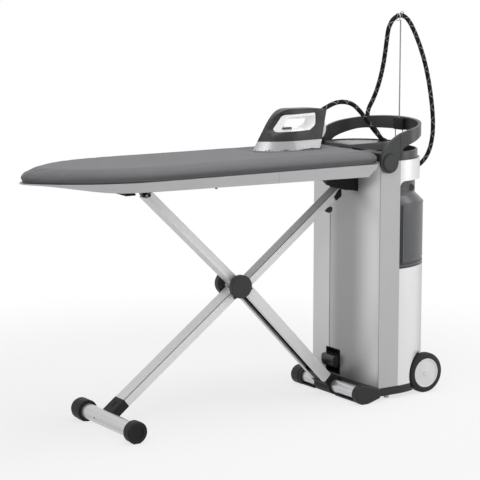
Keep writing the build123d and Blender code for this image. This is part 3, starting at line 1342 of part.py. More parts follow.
HANDLE_BOSS_RADIUS = 28.0
with BuildPart() as handle_arms:
    add(handle_form())
    block((0, HANDLE_SEAM_X), (-COLUMN_REAR, COLUMN_REAR), (0, 2 * COLUMN_TOP), Mode.INTERSECT)
    for side in (-1, 1):
        low = min(side * COLUMN_HALF_WIDTH, side * (COLUMN_HALF_WIDTH + HANDLE_SIDE_GAP))
        across_between(HANDLE_PIVOT, low, low + HANDLE_SIDE_GAP, HANDLE_BOSS_RADIUS)
save(handle_arms, "handle_arms")

HANDLE_CAP_RADIUS = 31.0
HANDLE_CAP_LIP = 1.2
with BuildPart() as handle_caps:
    for side in (-1, 1):
        low = min(side * HANDLE_HALF_WIDTH, side * HANDLE_CAP_OUTER)
        across_between(HANDLE_PIVOT, low, low + HANDLE_CAP_PROUD, HANDLE_CAP_RADIUS)
    end_faces = handle_caps.faces().sort_by(Axis.Y)
    chamfer(end_faces[0].edges() + end_faces[-1].edges(), length=HANDLE_CAP_LIP)
save(handle_caps, "handle_caps")

# Hose holder: a block inside the bow, two wires down to the deck and one tall rod
ROD_BLOCK_DROP = 3.0
ROD_BLOCK_TOP = HANDLE_PIVOT[1] + HANDLE_BACK_TOP - ROD_BLOCK_DROP
ROD_BLOCK_REAR = HANDLE_BACK_X - HANDLE_BAND
ROD_LEG_RADIUS = 1.6
with BuildPart() as rod_block:
    with BuildSketch(Plane.XY.offset(ROD_BLOCK_TOP - ROD_BLOCK_HEIGHT)) as section:
        with Locations((ROD_BLOCK_REAR - ROD_BLOCK_DEPTH / 2 + HANDLE_BAND / 4, 0)):
            RectangleRounded(ROD_BLOCK_DEPTH + HANDLE_BAND / 2, ROD_BLOCK_WIDTH, 4)
    extrude(amount=ROD_BLOCK_HEIGHT)
    add(handle_bow.part, mode=Mode.SUBTRACT)
    with BuildSketch(Plane.XY.offset(ROD_BLOCK_TOP - ROD_BLOCK_HEIGHT)):
        with Locations((HOSE_ROD_X, 0)):
            Circle(HOSE_ROD_RADIUS)
            with GridLocations(1, 2 * ROD_LEG_SPREAD, 1, 2):
                Circle(ROD_LEG_RADIUS)
    extrude(amount=ROD_BLOCK_HEIGHT, mode=Mode.SUBTRACT)
save(rod_block, "rod_block")

# Rod with a ring at its top for the hose, and the two wires down to the deck
ROD_RING_RADIUS = HOSE_DIAMETER / 2 + 4.0
ROD_RING_WIRE = 1.8
HOSE_TOP_Z = COLUMN_TOP + HOSE_ROD_TOP + ROD_RING_RADIUS
with BuildPart() as hose_rod:
    with BuildSketch(Plane.XY.offset(ROD_BLOCK_TOP - ROD_BLOCK_HEIGHT)):
        with Locations((HOSE_ROD_X, 0)):
            Circle(HOSE_ROD_RADIUS)
    extrude(amount=COLUMN_TOP + HOSE_ROD_TOP - ROD_BLOCK_TOP + ROD_BLOCK_HEIGHT)
    with Locations(Location((HOSE_ROD_X, 0, HOSE_TOP_Z), (0, 90, 0))):
        Torus(ROD_RING_RADIUS, ROD_RING_WIRE)
    with BuildSketch(Plane.XY.offset(DECK_FLOOR)):
        with Locations((HOSE_ROD_X, 0)):
            with GridLocations(1, 2 * ROD_LEG_SPREAD, 1, 2):
                Circle(ROD_LEG_RADIUS)
    extrude(amount=ROD_BLOCK_TOP - DECK_FLOOR)
save(hose_rod, "hose_rod")

# Foot latch in the front panel: a black housing and a sprung pedal
LATCH_WALL = 3.0
LATCH_PIVOT_DEPTH = 17.0
LATCH_PIVOT_Z = 112.0
LATCH_PEDAL_REACH = 25.0
LATCH_PEDAL_TOP = 118.0
LATCH_PEDAL_LOW = 92.0
LATCH_PEDAL_TOE = 75.0
LATCH_SIDE_GAP = 3.0
LATCH_PIN_RADIUS = 3.0
with BuildPart() as latch_housing:
    block(
        (COLUMN_FRONT + PANEL_GROOVE_DEPTH + PANEL_SHEET, COLUMN_FRONT + LATCH_DEPTH),
        (LATCH_FROM - LATCH_WALL, LATCH_TO + LATCH_WALL),
        (LATCH_BOTTOM - LATCH_WALL, LATCH_TOP + LATCH_WALL),
    )
    block((COLUMN_FRONT, COLUMN_FRONT + LATCH_DEPTH), (LATCH_FROM, LATCH_TO), (LATCH_BOTTOM, LATCH_TOP))
    block(
        (COLUMN_FRONT - 1, COLUMN_FRONT + LATCH_DEPTH - LATCH_WALL),
        (LATCH_FROM + LATCH_WALL, LATCH_TO - LATCH_WALL),
        (LATCH_BOTTOM + LATCH_WALL, LATCH_TOP - LATCH_WALL),
        Mode.SUBTRACT,
    )
    latch_pin = (COLUMN_FRONT + LATCH_PIVOT_DEPTH, LATCH_PIVOT_Z)
    across_between(latch_pin, LATCH_FROM, LATCH_TO, LATCH_PIN_RADIUS)

with BuildPart() as panel_liners:
    add(recess_liner.part)
    add(latch_housing.part)
save(panel_liners, "panel_liners")

with BuildPart() as latch_pedal:
    pedal_low = LATCH_FROM + LATCH_WALL + LATCH_SIDE_GAP
    pedal_high = LATCH_TO - LATCH_WALL - LATCH_SIDE_GAP
    with BuildSketch(side_plane((COLUMN_FRONT, 0), y=pedal_high)) as outline:
        with BuildLine():
            Polyline(
                (LATCH_PIVOT_DEPTH, LATCH_PEDAL_TOP),
                (-LATCH_PEDAL_REACH + 6, LATCH_PEDAL_TOP - 3),
                (-LATCH_PEDAL_REACH, LATCH_PEDAL_TOP - 9),
                (-LATCH_PEDAL_REACH, LATCH_PEDAL_LOW),
                (-LATCH_PEDAL_REACH + 6, LATCH_PEDAL_TOE),
                (-4, LATCH_PEDAL_TOE),
                (2, LATCH_PEDAL_LOW),
                (LATCH_PIVOT_DEPTH, LATCH_PIVOT_Z - 7),
                close=True,
            )
        make_face()
        with Locations((LATCH_PIVOT_DEPTH, LATCH_PIVOT_Z)):
            Circle(2 * LATCH_PIN_RADIUS)
            Circle(LATCH_PIN_RADIUS + RUNNING_FIT, mode=Mode.SUBTRACT)
    extrude(outline.sketch, amount=pedal_high - pedal_low)
save(latch_pedal, "latch_pedal")


# Inside the column

# Boiler: a domed cylinder on a foot ring, with its heater flange
BOILER_RADIUS = 62.0
BOILER_HEIGHT = 250.0
BOILER_DOME = 24.0
BOILER_NECK_RADIUS = 9.0
BOILER_NECK_BORE = 6.5
BOILER_FLANGE_THICKNESS = 6.0
BOILER_WALL = 2.0
with BuildPart() as boiler:
    boiler_top = BOILER_BOTTOM + BOILER_HEIGHT
    with BuildSketch(Plane.XZ.offset(-BOILER_AT[1])) as half:
        with BuildLine():
            Polyline(
                (BOILER_AT[0], BOILER_BOTTOM),
                (BOILER_AT[0] + BOILER_FLANGE, BOILER_BOTTOM),
                (BOILER_AT[0] + BOILER_FLANGE, BOILER_BOTTOM + BOILER_FLANGE_THICKNESS),
                (BOILER_AT[0] + BOILER_RADIUS, BOILER_BOTTOM + BOILER_FLANGE_THICKNESS),
                (BOILER_AT[0] + BOILER_RADIUS, boiler_top - BOILER_DOME),
                (BOILER_AT[0] + BOILER_RADIUS - BOILER_DOME, boiler_top),
                (BOILER_AT[0] + BOILER_NECK_RADIUS, boiler_top),
                (BOILER_AT[0] + BOILER_NECK_RADIUS, boiler_top + BOILER_DOME),
                (BOILER_AT[0] + BOILER_NECK_BORE, boiler_top + BOILER_DOME),
                (BOILER_AT[0] + BOILER_NECK_BORE, boiler_top - BOILER_WALL),
                (BOILER_AT[0] + BOILER_RADIUS - BOILER_DOME - BOILER_WALL, boiler_top - BOILER_WALL),
                (BOILER_AT[0] + BOILER_RADIUS - BOILER_WALL, boiler_top - BOILER_DOME - BOILER_WALL),
                (BOILER_AT[0] + BOILER_RADIUS - BOILER_WALL, BOILER_BOTTOM + BOILER_FLANGE_THICKNESS),
                (BOILER_AT[0], BOILER_BOTTOM + BOILER_FLANGE_THICKNESS),
                close=True,
            )
        make_face()
    revolve(half.sketch, axis=Axis((BOILER_AT[0], BOILER_AT[1], 0), (0, 0, 1)))
save(boiler, "boiler")

# Feed pump on the floor of the tray: a coil block with its piston tube through it
PUMP_AT = (COLUMN_FRONT + 52.0, -100.0)
PUMP_SIZE = (46.0, 60.0, 52.0)
PUMP_TUBE_RADIUS = 11.0
with BuildPart() as feed_pump:
    with BuildSketch(Plane.XY.offset(TRAY_BOTTOM + TRAY_SHEET)):
        with Locations(PUMP_AT):
            RectangleRounded(PUMP_SIZE[0], PUMP_SIZE[1], 4)
    extrude(amount=PUMP_SIZE[2])
    with BuildSketch(Plane.XZ.offset(-PUMP_AT[1])) as tube:
        with Locations((PUMP_AT[0], TRAY_BOTTOM + TRAY_SHEET + PUMP_SIZE[2] / 2)):
            Circle(PUMP_TUBE_RADIUS)
    extrude(tube.sketch, amount=PUMP_SIZE[1] * 0.8, both=True)
save(feed_pump, "feed_pump")

# Control board upright behind the far pillar
BOARD_AT_Y = 168.0
CONTROL_SIZE = (70.0, 2.0, 140.0)
CONTROL_BOTTOM = 420.0
COMPONENT_SIZE = (24.0, 14.0, 24.0)
COMPONENT_PITCH = 42.0
COMPONENT_INSET = (10.0, 12.0)
COMPONENT_COUNT = 3
SPACER_RADIUS = 4.0
with BuildPart() as control_board:
    control_x = PILLAR_FRONT + PILLAR_RECESS + PILLAR_SHEET
    block(
        (control_x, control_x + CONTROL_SIZE[0]),
        (BOARD_AT_Y, BOARD_AT_Y + CONTROL_SIZE[1]),
        (CONTROL_BOTTOM, CONTROL_BOTTOM + CONTROL_SIZE[2]),
    )
    for row in range(COMPONENT_COUNT):
        component_x = control_x + COMPONENT_INSET[0]
        component_z = CONTROL_BOTTOM + COMPONENT_INSET[1] + row * COMPONENT_PITCH
        block(
            (component_x, component_x + COMPONENT_SIZE[0]),
            (BOARD_AT_Y - COMPONENT_SIZE[1], BOARD_AT_Y),
            (component_z, component_z + COMPONENT_SIZE[2]),
        )
    # Spacers to the far pillar
    with BuildSketch(Plane.XZ.offset(-(BOARD_AT_Y + CONTROL_SIZE[1]))) as spots:
        with Locations((control_x + CONTROL_SIZE[0] / 2 - 4, CONTROL_BOTTOM + CONTROL_SIZE[2] / 2)):
            with GridLocations(CONTROL_SIZE[0] - 20, CONTROL_SIZE[2] - 16, 2, 2):
                Circle(SPACER_RADIUS)
    extrude(spots.sketch, amount=-(COLUMN_HALF_WIDTH - PILLAR_SHEET - BOARD_AT_Y - CONTROL_SIZE[1]))
save(control_board, "control_board")

# Mains inlet low on the back of the shell
INLET_DEPTH = 26.0
INLET_SOCKET = (16.0, 12.0)
INLET_SOCKET_DEPTH = 18.0
with BuildPart() as power_inlet:
    inlet_ratio = INLET_Y / COLUMN_HALF_WIDTH
    inlet_face = SHELL_FRONT + (COLUMN_REAR - SHELL_FRONT) * sqrt(1 - inlet_ratio**2)
    block(
        (inlet_face - INLET_DEPTH, inlet_face),
        (INLET_Y - INLET_HALF_WIDTH, INLET_Y + INLET_HALF_WIDTH),
        (INLET_Z - INLET_HALF_HEIGHT, INLET_Z + INLET_HALF_HEIGHT),
    )
    with BuildSketch(Plane.YZ.offset(inlet_face)):
        with Locations((INLET_Y, INLET_Z)):
            Rectangle(*INLET_SOCKET)
    extrude(amount=-INLET_SOCKET_DEPTH, mode=Mode.SUBTRACT)
save(power_inlet, "power_inlet")


# Hose

# The route from the iron to the socket on the deck, which stays beside the middle line
HOSE_FRONT_ROUTE = (
    (408.0, 54.0, 971.0),
    (442.0, 54.0, 991.0),
    (484.0, 54.0, 998.0),
    (526.0, 54.0, 983.0),
    (571.0, 54.0, 949.0),
    (615.0, 54.0, 905.0),
    (645.0, 54.0, 873.0),
    (664.0, 54.0, 851.0),
)
# The route from the socket round the far side of the bow, over the holder and into the shell
HOSE_REAR_ROUTE = (
    (676.0, 72.0, 848.0),
    (680.0, 94.0, 850.0),
    (685.0, 119.0, 859.0),
    (689.0, 140.0, 877.0),
    (691.0, 153.0, 901.0),
    (692.0, 157.0, 930.0),
    (700.0, 152.0, 985.0),
    (694.0, 112.0, 1060.0),
    (673.0, 62.0, 1138.0),
    (653.0, 20.0, 1203.0),
    (652.0, 2.0, 1246.0),
    (664.0, 0.0, 1270.0),
    (690.0, 0.0, 1281.0),
    (716.0, 0.0, 1271.0),
    (742.0, 0.0, 1247.0),
    (772.0, 0.0, 1200.0),
    (804.0, 0.0, 1122.0),
    (827.0, 1.0, 1045.0),
    (839.0, 2.0, 965.0),
    (841.0, 5.0, 895.0),
    (831.0, 10.0, 836.0),
    (811.0, 16.0, 794.0),
    (783.0, 23.0, 765.0),
    (748.0, 30.0, 748.0),
)
# Share of the shorter run that each arc takes up
ARC_SHARE = 0.45


def route_direction(route, index):
    return (Vector(*route[index + 1]) - Vector(*route[index])).normalized()


def hose(route, name):
    # A tube of straight runs joined by arcs, each as large as its two runs allow
    points = [Vector(*point) for point in route]
    runs = [after - before for before, after in zip(points, points[1:])]
    radii = []
    for before, after in zip(runs, runs[1:]):
        turn = radians(before.get_angle(after))
        radii.append(ARC_SHARE * min(before.length, after.length) / tan(turn / 2))
    with BuildPart() as tube:
        with BuildLine() as path:
            FilletPolyline(*points, radius=radii)
        with BuildSketch(Plane(origin=points[0], z_dir=runs[0])):
            Circle(HOSE_DIAMETER / 2)
        sweep()
    length = sum(edge.length for edge in path.edges())
    section = pi * (HOSE_DIAMETER / 2) ** 2
    print(name, "radii", [round(radius) for radius in radii])
    print(name, "length", round(length, 1), "volume share", round(tube.part.volume / (section * length), 4))
    save(tube, name)
    return tube


hose_front = hose(HOSE_FRONT_ROUTE, "hose_front")
hose_rear = hose(HOSE_REAR_ROUTE, "hose_rear")

# Socket on the deck that joins the two stretches, and the gland on the back of the shell
SOCKET_RADIUS = 10.5
SOCKET_LENGTH = 18.0
SOCKET_BASE_RADIUS = 17.0
SOCKET_BASE_AT = (676.0, 61.0)
SOCKET_BASE_HEIGHT = 22.0
SOCKET_BASE_ROUND = 4.0
GLAND_FLANGE_RADIUS = 18.0
GLAND_FLANGE = 4.0
GLAND_INNER_LENGTH = 14.0
GLAND_FACE = SHELL_TOP_REAR + 1.0


def socket(end, direction):
    # A short round socket from a hose's end back along a direction
    with BuildSketch(Plane(origin=end, z_dir=direction)) as face:
        Circle(SOCKET_RADIUS)
    extrude(face.sketch, amount=SOCKET_LENGTH)


with BuildPart() as hose_fittings:
    with BuildSketch(Plane.XY.offset(DECK_FLOOR)):
        with Locations(SOCKET_BASE_AT):
            Circle(SOCKET_BASE_RADIUS)
    extrude(amount=SOCKET_BASE_HEIGHT)
    fillet(hose_fittings.faces().sort_by(Axis.Z)[-1].edges(), radius=SOCKET_BASE_ROUND)
    socket(HOSE_FRONT_ROUTE[-1], route_direction(HOSE_FRONT_ROUTE, len(HOSE_FRONT_ROUTE) - 2))
    socket(HOSE_REAR_ROUTE[0], route_direction(HOSE_REAR_ROUTE, 0) * -1)
    with BuildSketch(Plane.YZ.offset(GLAND_FACE - GLAND_INNER_LENGTH)) as gland_neck:
        with Locations((GLAND_Y, GLAND_Z)):
            Circle(GLAND_RADIUS)
    extrude(gland_neck.sketch, amount=GLAND_INNER_LENGTH)
    with BuildSketch(Plane.YZ.offset(GLAND_FACE)) as gland_flange:
        with Locations((GLAND_Y, GLAND_Z)):
            Circle(GLAND_FLANGE_RADIUS)
    extrude(gland_flange.sketch, amount=GLAND_FLANGE)
    socket(HOSE_REAR_ROUTE[-1], route_direction(HOSE_REAR_ROUTE, len(HOSE_REAR_ROUTE) - 2))
    add(hose_front.part, mode=Mode.SUBTRACT)
    add(hose_rear.part, mode=Mode.SUBTRACT)
save(hose_fittings, "hose_fittings")


# Steam iron

# Where the plan of the housing is widest, and how it ends at the sole and at the top
IRON_SHOULDER = 132.0
IRON_REAR_HALF = 52.0
IRON_TOP_TIP = 82.0
IRON_TOP_SHOULDER = 140.0
IRON_TOP_HALF = 21.0
IRON_FORM_LENGTH = 290.0
# Point of the curved edge between the tip and the shoulder, as shares of its reach
IRON_BELLY = (0.42, 0.72)
SOLE_TOP = BOARD_TOP + SOLE_THICKNESS
IRON_FORM_TOP = BOARD_TOP + IRON_HEIGHT + SOLE_THICKNESS


def iron_outline(tip, shoulder, rear, half, rear_half):
    # Pointed at the tip, widest at the shoulder, a little narrower at the rear
    tip_x = IRON_TIP + tip
    shoulder_x = IRON_TIP + shoulder
    rear_x = IRON_TIP + rear
    belly = (tip_x + IRON_BELLY[0] * (shoulder_x - tip_x), IRON_BELLY[1] * half)
    with BuildSketch() as outline:
        with BuildLine():
            ThreePointArc((tip_x, 0), belly, (shoulder_x, half))
            Polyline(
                (shoulder_x, half), (rear_x, rear_half), (rear_x, -rear_half), (shoulder_x, -half)
            )
            ThreePointArc((shoulder_x, -half), (belly[0], -belly[1]), (tip_x, 0))
        make_face()
        fillet(outline.vertices().group_by(Axis.X)[-1], radius=rear_half / 3)
    return Location((0, IRON_OFFSET, 0)) * outline.sketch


def iron_form(inset=0.0):
    # Full width at the sole, drawn in to a narrow handle at the top
    low = iron_outline(
        inset, IRON_SHOULDER, IRON_FORM_LENGTH, IRON_HALF_WIDTH - inset, IRON_REAR_HALF - inset
    )
    high = iron_outline(
        IRON_TOP_TIP, IRON_TOP_SHOULDER, IRON_FORM_LENGTH, IRON_TOP_HALF - inset, IRON_TOP_HALF - inset - 2
    )
    with BuildPart() as form:
        loft([Plane.XY.offset(SOLE_TOP) * low, Plane.XY.offset(IRON_FORM_TOP) * high])
    return form.part


def iron_plane(y=0.0):
    # Side view of the iron: local x from its tip, local y up from the cover
    return side_plane((IRON_TIP, BOARD_TOP), y=IRON_OFFSET + y)


# Sole with a ring of steam vents round its front half
SOLE_LIP = 1.0
VENT_RADIUS = 2.0
VENT_COUNT = 7
VENT_RING = 34.0
with BuildPart() as iron_soleplate:
    with BuildSketch(Plane.XY.offset(BOARD_TOP)):
        add(
            iron_outline(
                0, IRON_SHOULDER, IRON_LENGTH, IRON_HALF_WIDTH + SOLE_LIP, IRON_REAR_HALF + SOLE_LIP
            )
        )
    extrude(amount=SOLE_THICKNESS)
    chamfer(iron_soleplate.faces().sort_by(Axis.Z)[0].edges(), length=1)
    with BuildSketch(Plane.XY.offset(BOARD_TOP)) as vents:
        with Locations((IRON_TIP + IRON_SHOULDER, IRON_OFFSET)):
            with PolarLocations(VENT_RING, VENT_COUNT, start_angle=90, angular_range=180):
                Circle(VENT_RADIUS)
    extrude(vents.sketch, amount=SOLE_THICKNESS / 2, mode=Mode.SUBTRACT)
save(iron_soleplate, "iron_soleplate")

# Side view of the housing above the sole, and of the opening for the hand
IRON_FRONT_LINE = ((16.0, 33.0), (61.0, 102.0), (107.0, 136.0), (190.0, 141.0))
IRON_TOP_REAR = (284.0, 134.0)
IRON_HEEL = (246.0, 33.0)
GRIP_OUTER = ((45.0, 64.0), (88.0, 122.0), (218.0, 125.0), (212.0, 84.0), (184.0, 67.0))
GRIP_INNER = ((100.0, 72.0), (120.0, 104.0), (212.0, 103.0), (203.0, 80.0), (190.0, 71.0))
GRIP_OUTER_ROUND = (8.0, 24.0, 5.0, 18.0, 12.0)
GRIP_INNER_ROUND = (3.0, 10.0, 3.0, 5.0, 4.0)


def grip_outline(points, rounds, y=0.0):
    with BuildSketch(iron_plane(y)) as outline:
        with BuildLine():
            FilletPolyline(*points, radius=list(rounds), close=True)
        make_face()
    return outline.sketch


# Silver band between the sole and the housing
with BuildPart() as iron_band:
    add(iron_form())
    with BuildSketch(iron_plane()) as band_profile:
        with BuildLine():
            Polyline(
                (0, SOLE_THICKNESS),
                (IRON_FRONT_LINE[0][0], BAND_TOP),
                (IRON_HEEL[0], BAND_TOP),
                (IRON_LENGTH, SOLE_THICKNESS),
                close=True,
            )
        make_face()
    extrude(band_profile.sketch, amount=IRON_HALF_WIDTH, both=True, mode=Mode.INTERSECT)
save(iron_band, "iron_band")

with BuildPart() as iron_silhouette:
    with BuildSketch(iron_plane()) as side_view:
        with BuildLine():
            front = Spline(*IRON_FRONT_LINE, tangents=((0.5, 0.85), (1, 0)))
            top = Spline(front @ 1, IRON_TOP_REAR, tangents=((1, 0), (1, -0.15)))
            Polyline(top @ 1, IRON_HEEL, front @ 0)
        make_face()
    extrude(side_view.sketch, amount=IRON_HALF_WIDTH, both=True)

# Steam button on the front edge of the handle, in a pocket that it sinks into
STEAM_BUTTON_FROM = (92.0, 122.0)
STEAM_BUTTON_TO = (111.0, 133.0)
STEAM_BUTTON_HALF = 7.0
STEAM_BUTTON_PROUD = 3.0
STEAM_BUTTON_DEPTH = 7.0
STEAM_BUTTON_GAP = 0.4
STEAM_BUTTON_TRAVEL = 1.5


def steam_button_form(gap, extra):
    direction = towards(STEAM_BUTTON_FROM, STEAM_BUTTON_TO)
    length = distance(STEAM_BUTTON_FROM, STEAM_BUTTON_TO) + 2 * gap
    middle = (
        IRON_TIP + (STEAM_BUTTON_FROM[0] + STEAM_BUTTON_TO[0]) / 2,
        BOARD_TOP + (STEAM_BUTTON_FROM[1] + STEAM_BUTTON_TO[1]) / 2,
    )
    height = STEAM_BUTTON_PROUD + STEAM_BUTTON_DEPTH + extra
    with BuildPart() as form:
        with BuildSketch(side_plane(middle, direction, IRON_OFFSET)) as outline:
            with Locations((0, STEAM_BUTTON_PROUD - height / 2)):
                Rectangle(length, height)
        extrude(outline.sketch, amount=STEAM_BUTTON_HALF + gap, both=True)
    return form.part


with BuildPart() as steam_button:
    add(steam_button_form(0, 0))
    fillet(steam_button.faces().sort_by(Axis.Z)[-1].edges(), radius=1)
save(steam_button, "steam_button")

# Housing, with the tail that the hose leaves from in line with its first run
TAIL_LENGTH = 26.0
TAIL_RADIUS = 11.0
TAIL_WALL = 1.0
with BuildPart() as iron_body:
    add(iron_form())
    add(iron_silhouette.part, mode=Mode.INTERSECT)
    opening = grip_outline(GRIP_OUTER, GRIP_OUTER_ROUND)
    extrude(opening, amount=IRON_HALF_WIDTH, both=True, mode=Mode.SUBTRACT)
    add(steam_button_form(STEAM_BUTTON_GAP, STEAM_BUTTON_TRAVEL + STEAM_BUTTON_GAP), mode=Mode.SUBTRACT)
    tail_end = Vector(*HOSE_FRONT_ROUTE[0])
    tail_direction = route_direction(HOSE_FRONT_ROUTE, 0)
    with BuildSketch(Plane(origin=tail_end, z_dir=tail_direction)) as tail_tip:
        Circle(HOSE_DIAMETER / 2 + TAIL_WALL)
    with BuildSketch(Plane(origin=tail_end - tail_direction * TAIL_LENGTH, z_dir=tail_direction)) as tail_root:
        Circle(TAIL_RADIUS)
    loft([tail_root.sketch, tail_tip.sketch])
    add(hose_front.part, mode=Mode.SUBTRACT)
save(iron_body, "iron_body")

# White heel at the back of the housing
HEEL_HALF = 30.0
HEEL_FOOT = (258.0, 34.0)
HEEL_BULGE = (276.0, 67.0)
HEEL_TOP = (261.0, 100.0)
HEEL_INSIDE = ((226.0, 73.0), (240.0, 34.0))
with BuildPart() as heel_form:
    with BuildSketch(iron_plane()) as profile:
        with BuildLine():
            ThreePointArc(HEEL_FOOT, HEEL_BULGE, HEEL_TOP)
            Polyline(HEEL_TOP, *HEEL_INSIDE, HEEL_FOOT)
        make_face()
    extrude(profile.sketch, amount=HEEL_HALF, both=True)
    add(iron_body.part, mode=Mode.SUBTRACT)
heel_rear = heel_form.solids().sort_by(Axis.X)[-1]
with BuildPart() as iron_heel:
    add(heel_rear)
save(iron_heel, "iron_heel")

# White lining of the hand opening, flared from the middle out to both sides
INSERT_STEP = 1.0
GRIP_FLARE = 46.0
with BuildPart() as grip_flare:
    inner = grip_outline(GRIP_INNER, GRIP_INNER_ROUND)
    for side in (-1, 1):
        loft([inner, grip_outline(GRIP_OUTER, GRIP_OUTER_ROUND, side * GRIP_FLARE)], ruled=True)

with BuildPart() as grip_insert:
    add(iron_form(INSERT_STEP))
    lining = grip_outline(GRIP_OUTER, GRIP_OUTER_ROUND)
    extrude(lining, amount=IRON_HALF_WIDTH, both=True, mode=Mode.INTERSECT)
    add(grip_flare.part, mode=Mode.SUBTRACT)
    add(steam_button_form(STEAM_BUTTON_GAP, STEAM_BUTTON_TRAVEL + STEAM_BUTTON_GAP), mode=Mode.SUBTRACT)
save(grip_insert, "grip_insert")

# Dark display on the sill of the opening
DISPLAY_CENTRE = (111.0, 72.0)
DISPLAY_SIZE = (50.0, 12.0)
DISPLAY_HALF = 12.0
DISPLAY_ROUND = 3.0
with BuildPart() as display_form:
    with BuildSketch(iron_plane()) as profile:
        with Locations(DISPLAY_CENTRE):
            RectangleRounded(*DISPLAY_SIZE, DISPLAY_ROUND)
    extrude(profile.sketch, amount=DISPLAY_HALF, both=True)
    add(grip_insert.part, mode=Mode.SUBTRACT)
display_block = display_form.solids().sort_by(SortBy.VOLUME)[-1]
with BuildPart() as iron_display:
    add(display_block)
save(iron_display, "iron_display")
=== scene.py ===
# Steam ironing system: board on a scissor stand, rolling steam column and an iron on its hose
import json
import math
import bmesh
import bpy
from mathutils import Matrix, Vector
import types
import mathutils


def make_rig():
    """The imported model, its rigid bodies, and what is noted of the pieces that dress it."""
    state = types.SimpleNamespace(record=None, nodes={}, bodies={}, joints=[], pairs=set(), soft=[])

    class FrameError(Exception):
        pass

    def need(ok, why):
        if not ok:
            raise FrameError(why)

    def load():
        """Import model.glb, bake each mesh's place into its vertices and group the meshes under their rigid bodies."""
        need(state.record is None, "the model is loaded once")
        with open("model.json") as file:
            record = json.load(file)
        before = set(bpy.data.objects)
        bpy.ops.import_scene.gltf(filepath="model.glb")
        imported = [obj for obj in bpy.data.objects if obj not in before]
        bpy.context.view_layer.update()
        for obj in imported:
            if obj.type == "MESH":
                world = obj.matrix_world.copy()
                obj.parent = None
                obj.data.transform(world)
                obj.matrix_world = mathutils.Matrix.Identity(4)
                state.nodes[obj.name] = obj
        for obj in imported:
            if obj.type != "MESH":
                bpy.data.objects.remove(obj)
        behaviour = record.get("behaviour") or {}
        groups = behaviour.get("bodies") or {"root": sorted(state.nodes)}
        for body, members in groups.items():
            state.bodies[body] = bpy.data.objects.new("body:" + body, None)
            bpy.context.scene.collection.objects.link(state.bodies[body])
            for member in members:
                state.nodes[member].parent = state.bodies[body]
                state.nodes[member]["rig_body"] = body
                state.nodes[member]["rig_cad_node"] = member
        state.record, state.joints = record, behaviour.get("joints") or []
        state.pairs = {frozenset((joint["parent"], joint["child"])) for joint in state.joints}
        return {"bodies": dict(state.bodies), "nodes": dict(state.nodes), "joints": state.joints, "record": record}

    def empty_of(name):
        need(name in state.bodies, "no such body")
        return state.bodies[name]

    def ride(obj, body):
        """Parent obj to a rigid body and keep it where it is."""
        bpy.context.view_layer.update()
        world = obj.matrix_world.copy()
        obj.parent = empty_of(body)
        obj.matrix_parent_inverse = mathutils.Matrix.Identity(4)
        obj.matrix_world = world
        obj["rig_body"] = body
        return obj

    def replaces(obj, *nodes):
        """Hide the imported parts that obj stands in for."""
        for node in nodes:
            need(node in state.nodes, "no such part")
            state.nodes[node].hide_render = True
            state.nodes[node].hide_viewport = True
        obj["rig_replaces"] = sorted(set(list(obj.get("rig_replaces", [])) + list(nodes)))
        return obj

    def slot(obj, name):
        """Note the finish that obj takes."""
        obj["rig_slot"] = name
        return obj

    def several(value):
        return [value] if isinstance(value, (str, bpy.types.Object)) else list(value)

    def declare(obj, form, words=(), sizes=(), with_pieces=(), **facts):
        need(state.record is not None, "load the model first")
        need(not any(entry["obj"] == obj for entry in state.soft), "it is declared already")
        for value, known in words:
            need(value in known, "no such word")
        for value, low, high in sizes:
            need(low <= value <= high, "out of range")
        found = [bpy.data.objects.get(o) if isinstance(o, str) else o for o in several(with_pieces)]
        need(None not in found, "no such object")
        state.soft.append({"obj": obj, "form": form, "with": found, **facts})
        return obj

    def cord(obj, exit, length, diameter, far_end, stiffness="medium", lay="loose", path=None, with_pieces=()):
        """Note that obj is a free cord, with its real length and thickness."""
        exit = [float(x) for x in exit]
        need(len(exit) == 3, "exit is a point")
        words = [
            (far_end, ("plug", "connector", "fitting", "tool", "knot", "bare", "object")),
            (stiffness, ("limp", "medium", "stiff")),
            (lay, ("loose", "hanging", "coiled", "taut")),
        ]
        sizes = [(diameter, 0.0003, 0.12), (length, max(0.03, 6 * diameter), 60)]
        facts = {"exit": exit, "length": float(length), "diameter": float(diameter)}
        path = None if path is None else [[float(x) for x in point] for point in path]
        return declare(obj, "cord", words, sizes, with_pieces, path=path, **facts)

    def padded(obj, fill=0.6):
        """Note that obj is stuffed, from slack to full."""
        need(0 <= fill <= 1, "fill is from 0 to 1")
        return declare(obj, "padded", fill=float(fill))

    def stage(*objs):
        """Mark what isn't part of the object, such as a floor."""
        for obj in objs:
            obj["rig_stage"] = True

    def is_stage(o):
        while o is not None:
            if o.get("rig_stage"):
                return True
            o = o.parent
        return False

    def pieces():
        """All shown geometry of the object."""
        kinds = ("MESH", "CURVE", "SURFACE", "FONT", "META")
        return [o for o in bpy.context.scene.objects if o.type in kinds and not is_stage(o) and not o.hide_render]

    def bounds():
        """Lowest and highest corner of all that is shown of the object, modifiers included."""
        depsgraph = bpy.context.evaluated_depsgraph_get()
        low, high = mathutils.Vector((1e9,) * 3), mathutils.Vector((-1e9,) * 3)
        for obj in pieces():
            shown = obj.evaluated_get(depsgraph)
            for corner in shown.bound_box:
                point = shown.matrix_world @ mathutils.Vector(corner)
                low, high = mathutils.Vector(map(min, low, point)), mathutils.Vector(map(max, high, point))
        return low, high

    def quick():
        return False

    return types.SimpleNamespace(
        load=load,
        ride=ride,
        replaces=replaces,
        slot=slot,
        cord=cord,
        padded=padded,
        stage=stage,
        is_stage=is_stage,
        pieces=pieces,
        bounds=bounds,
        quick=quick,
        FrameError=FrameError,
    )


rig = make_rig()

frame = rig.load()
cadLow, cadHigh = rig.bounds()
print("frame loaded:", len(frame["nodes"]), "nodes")


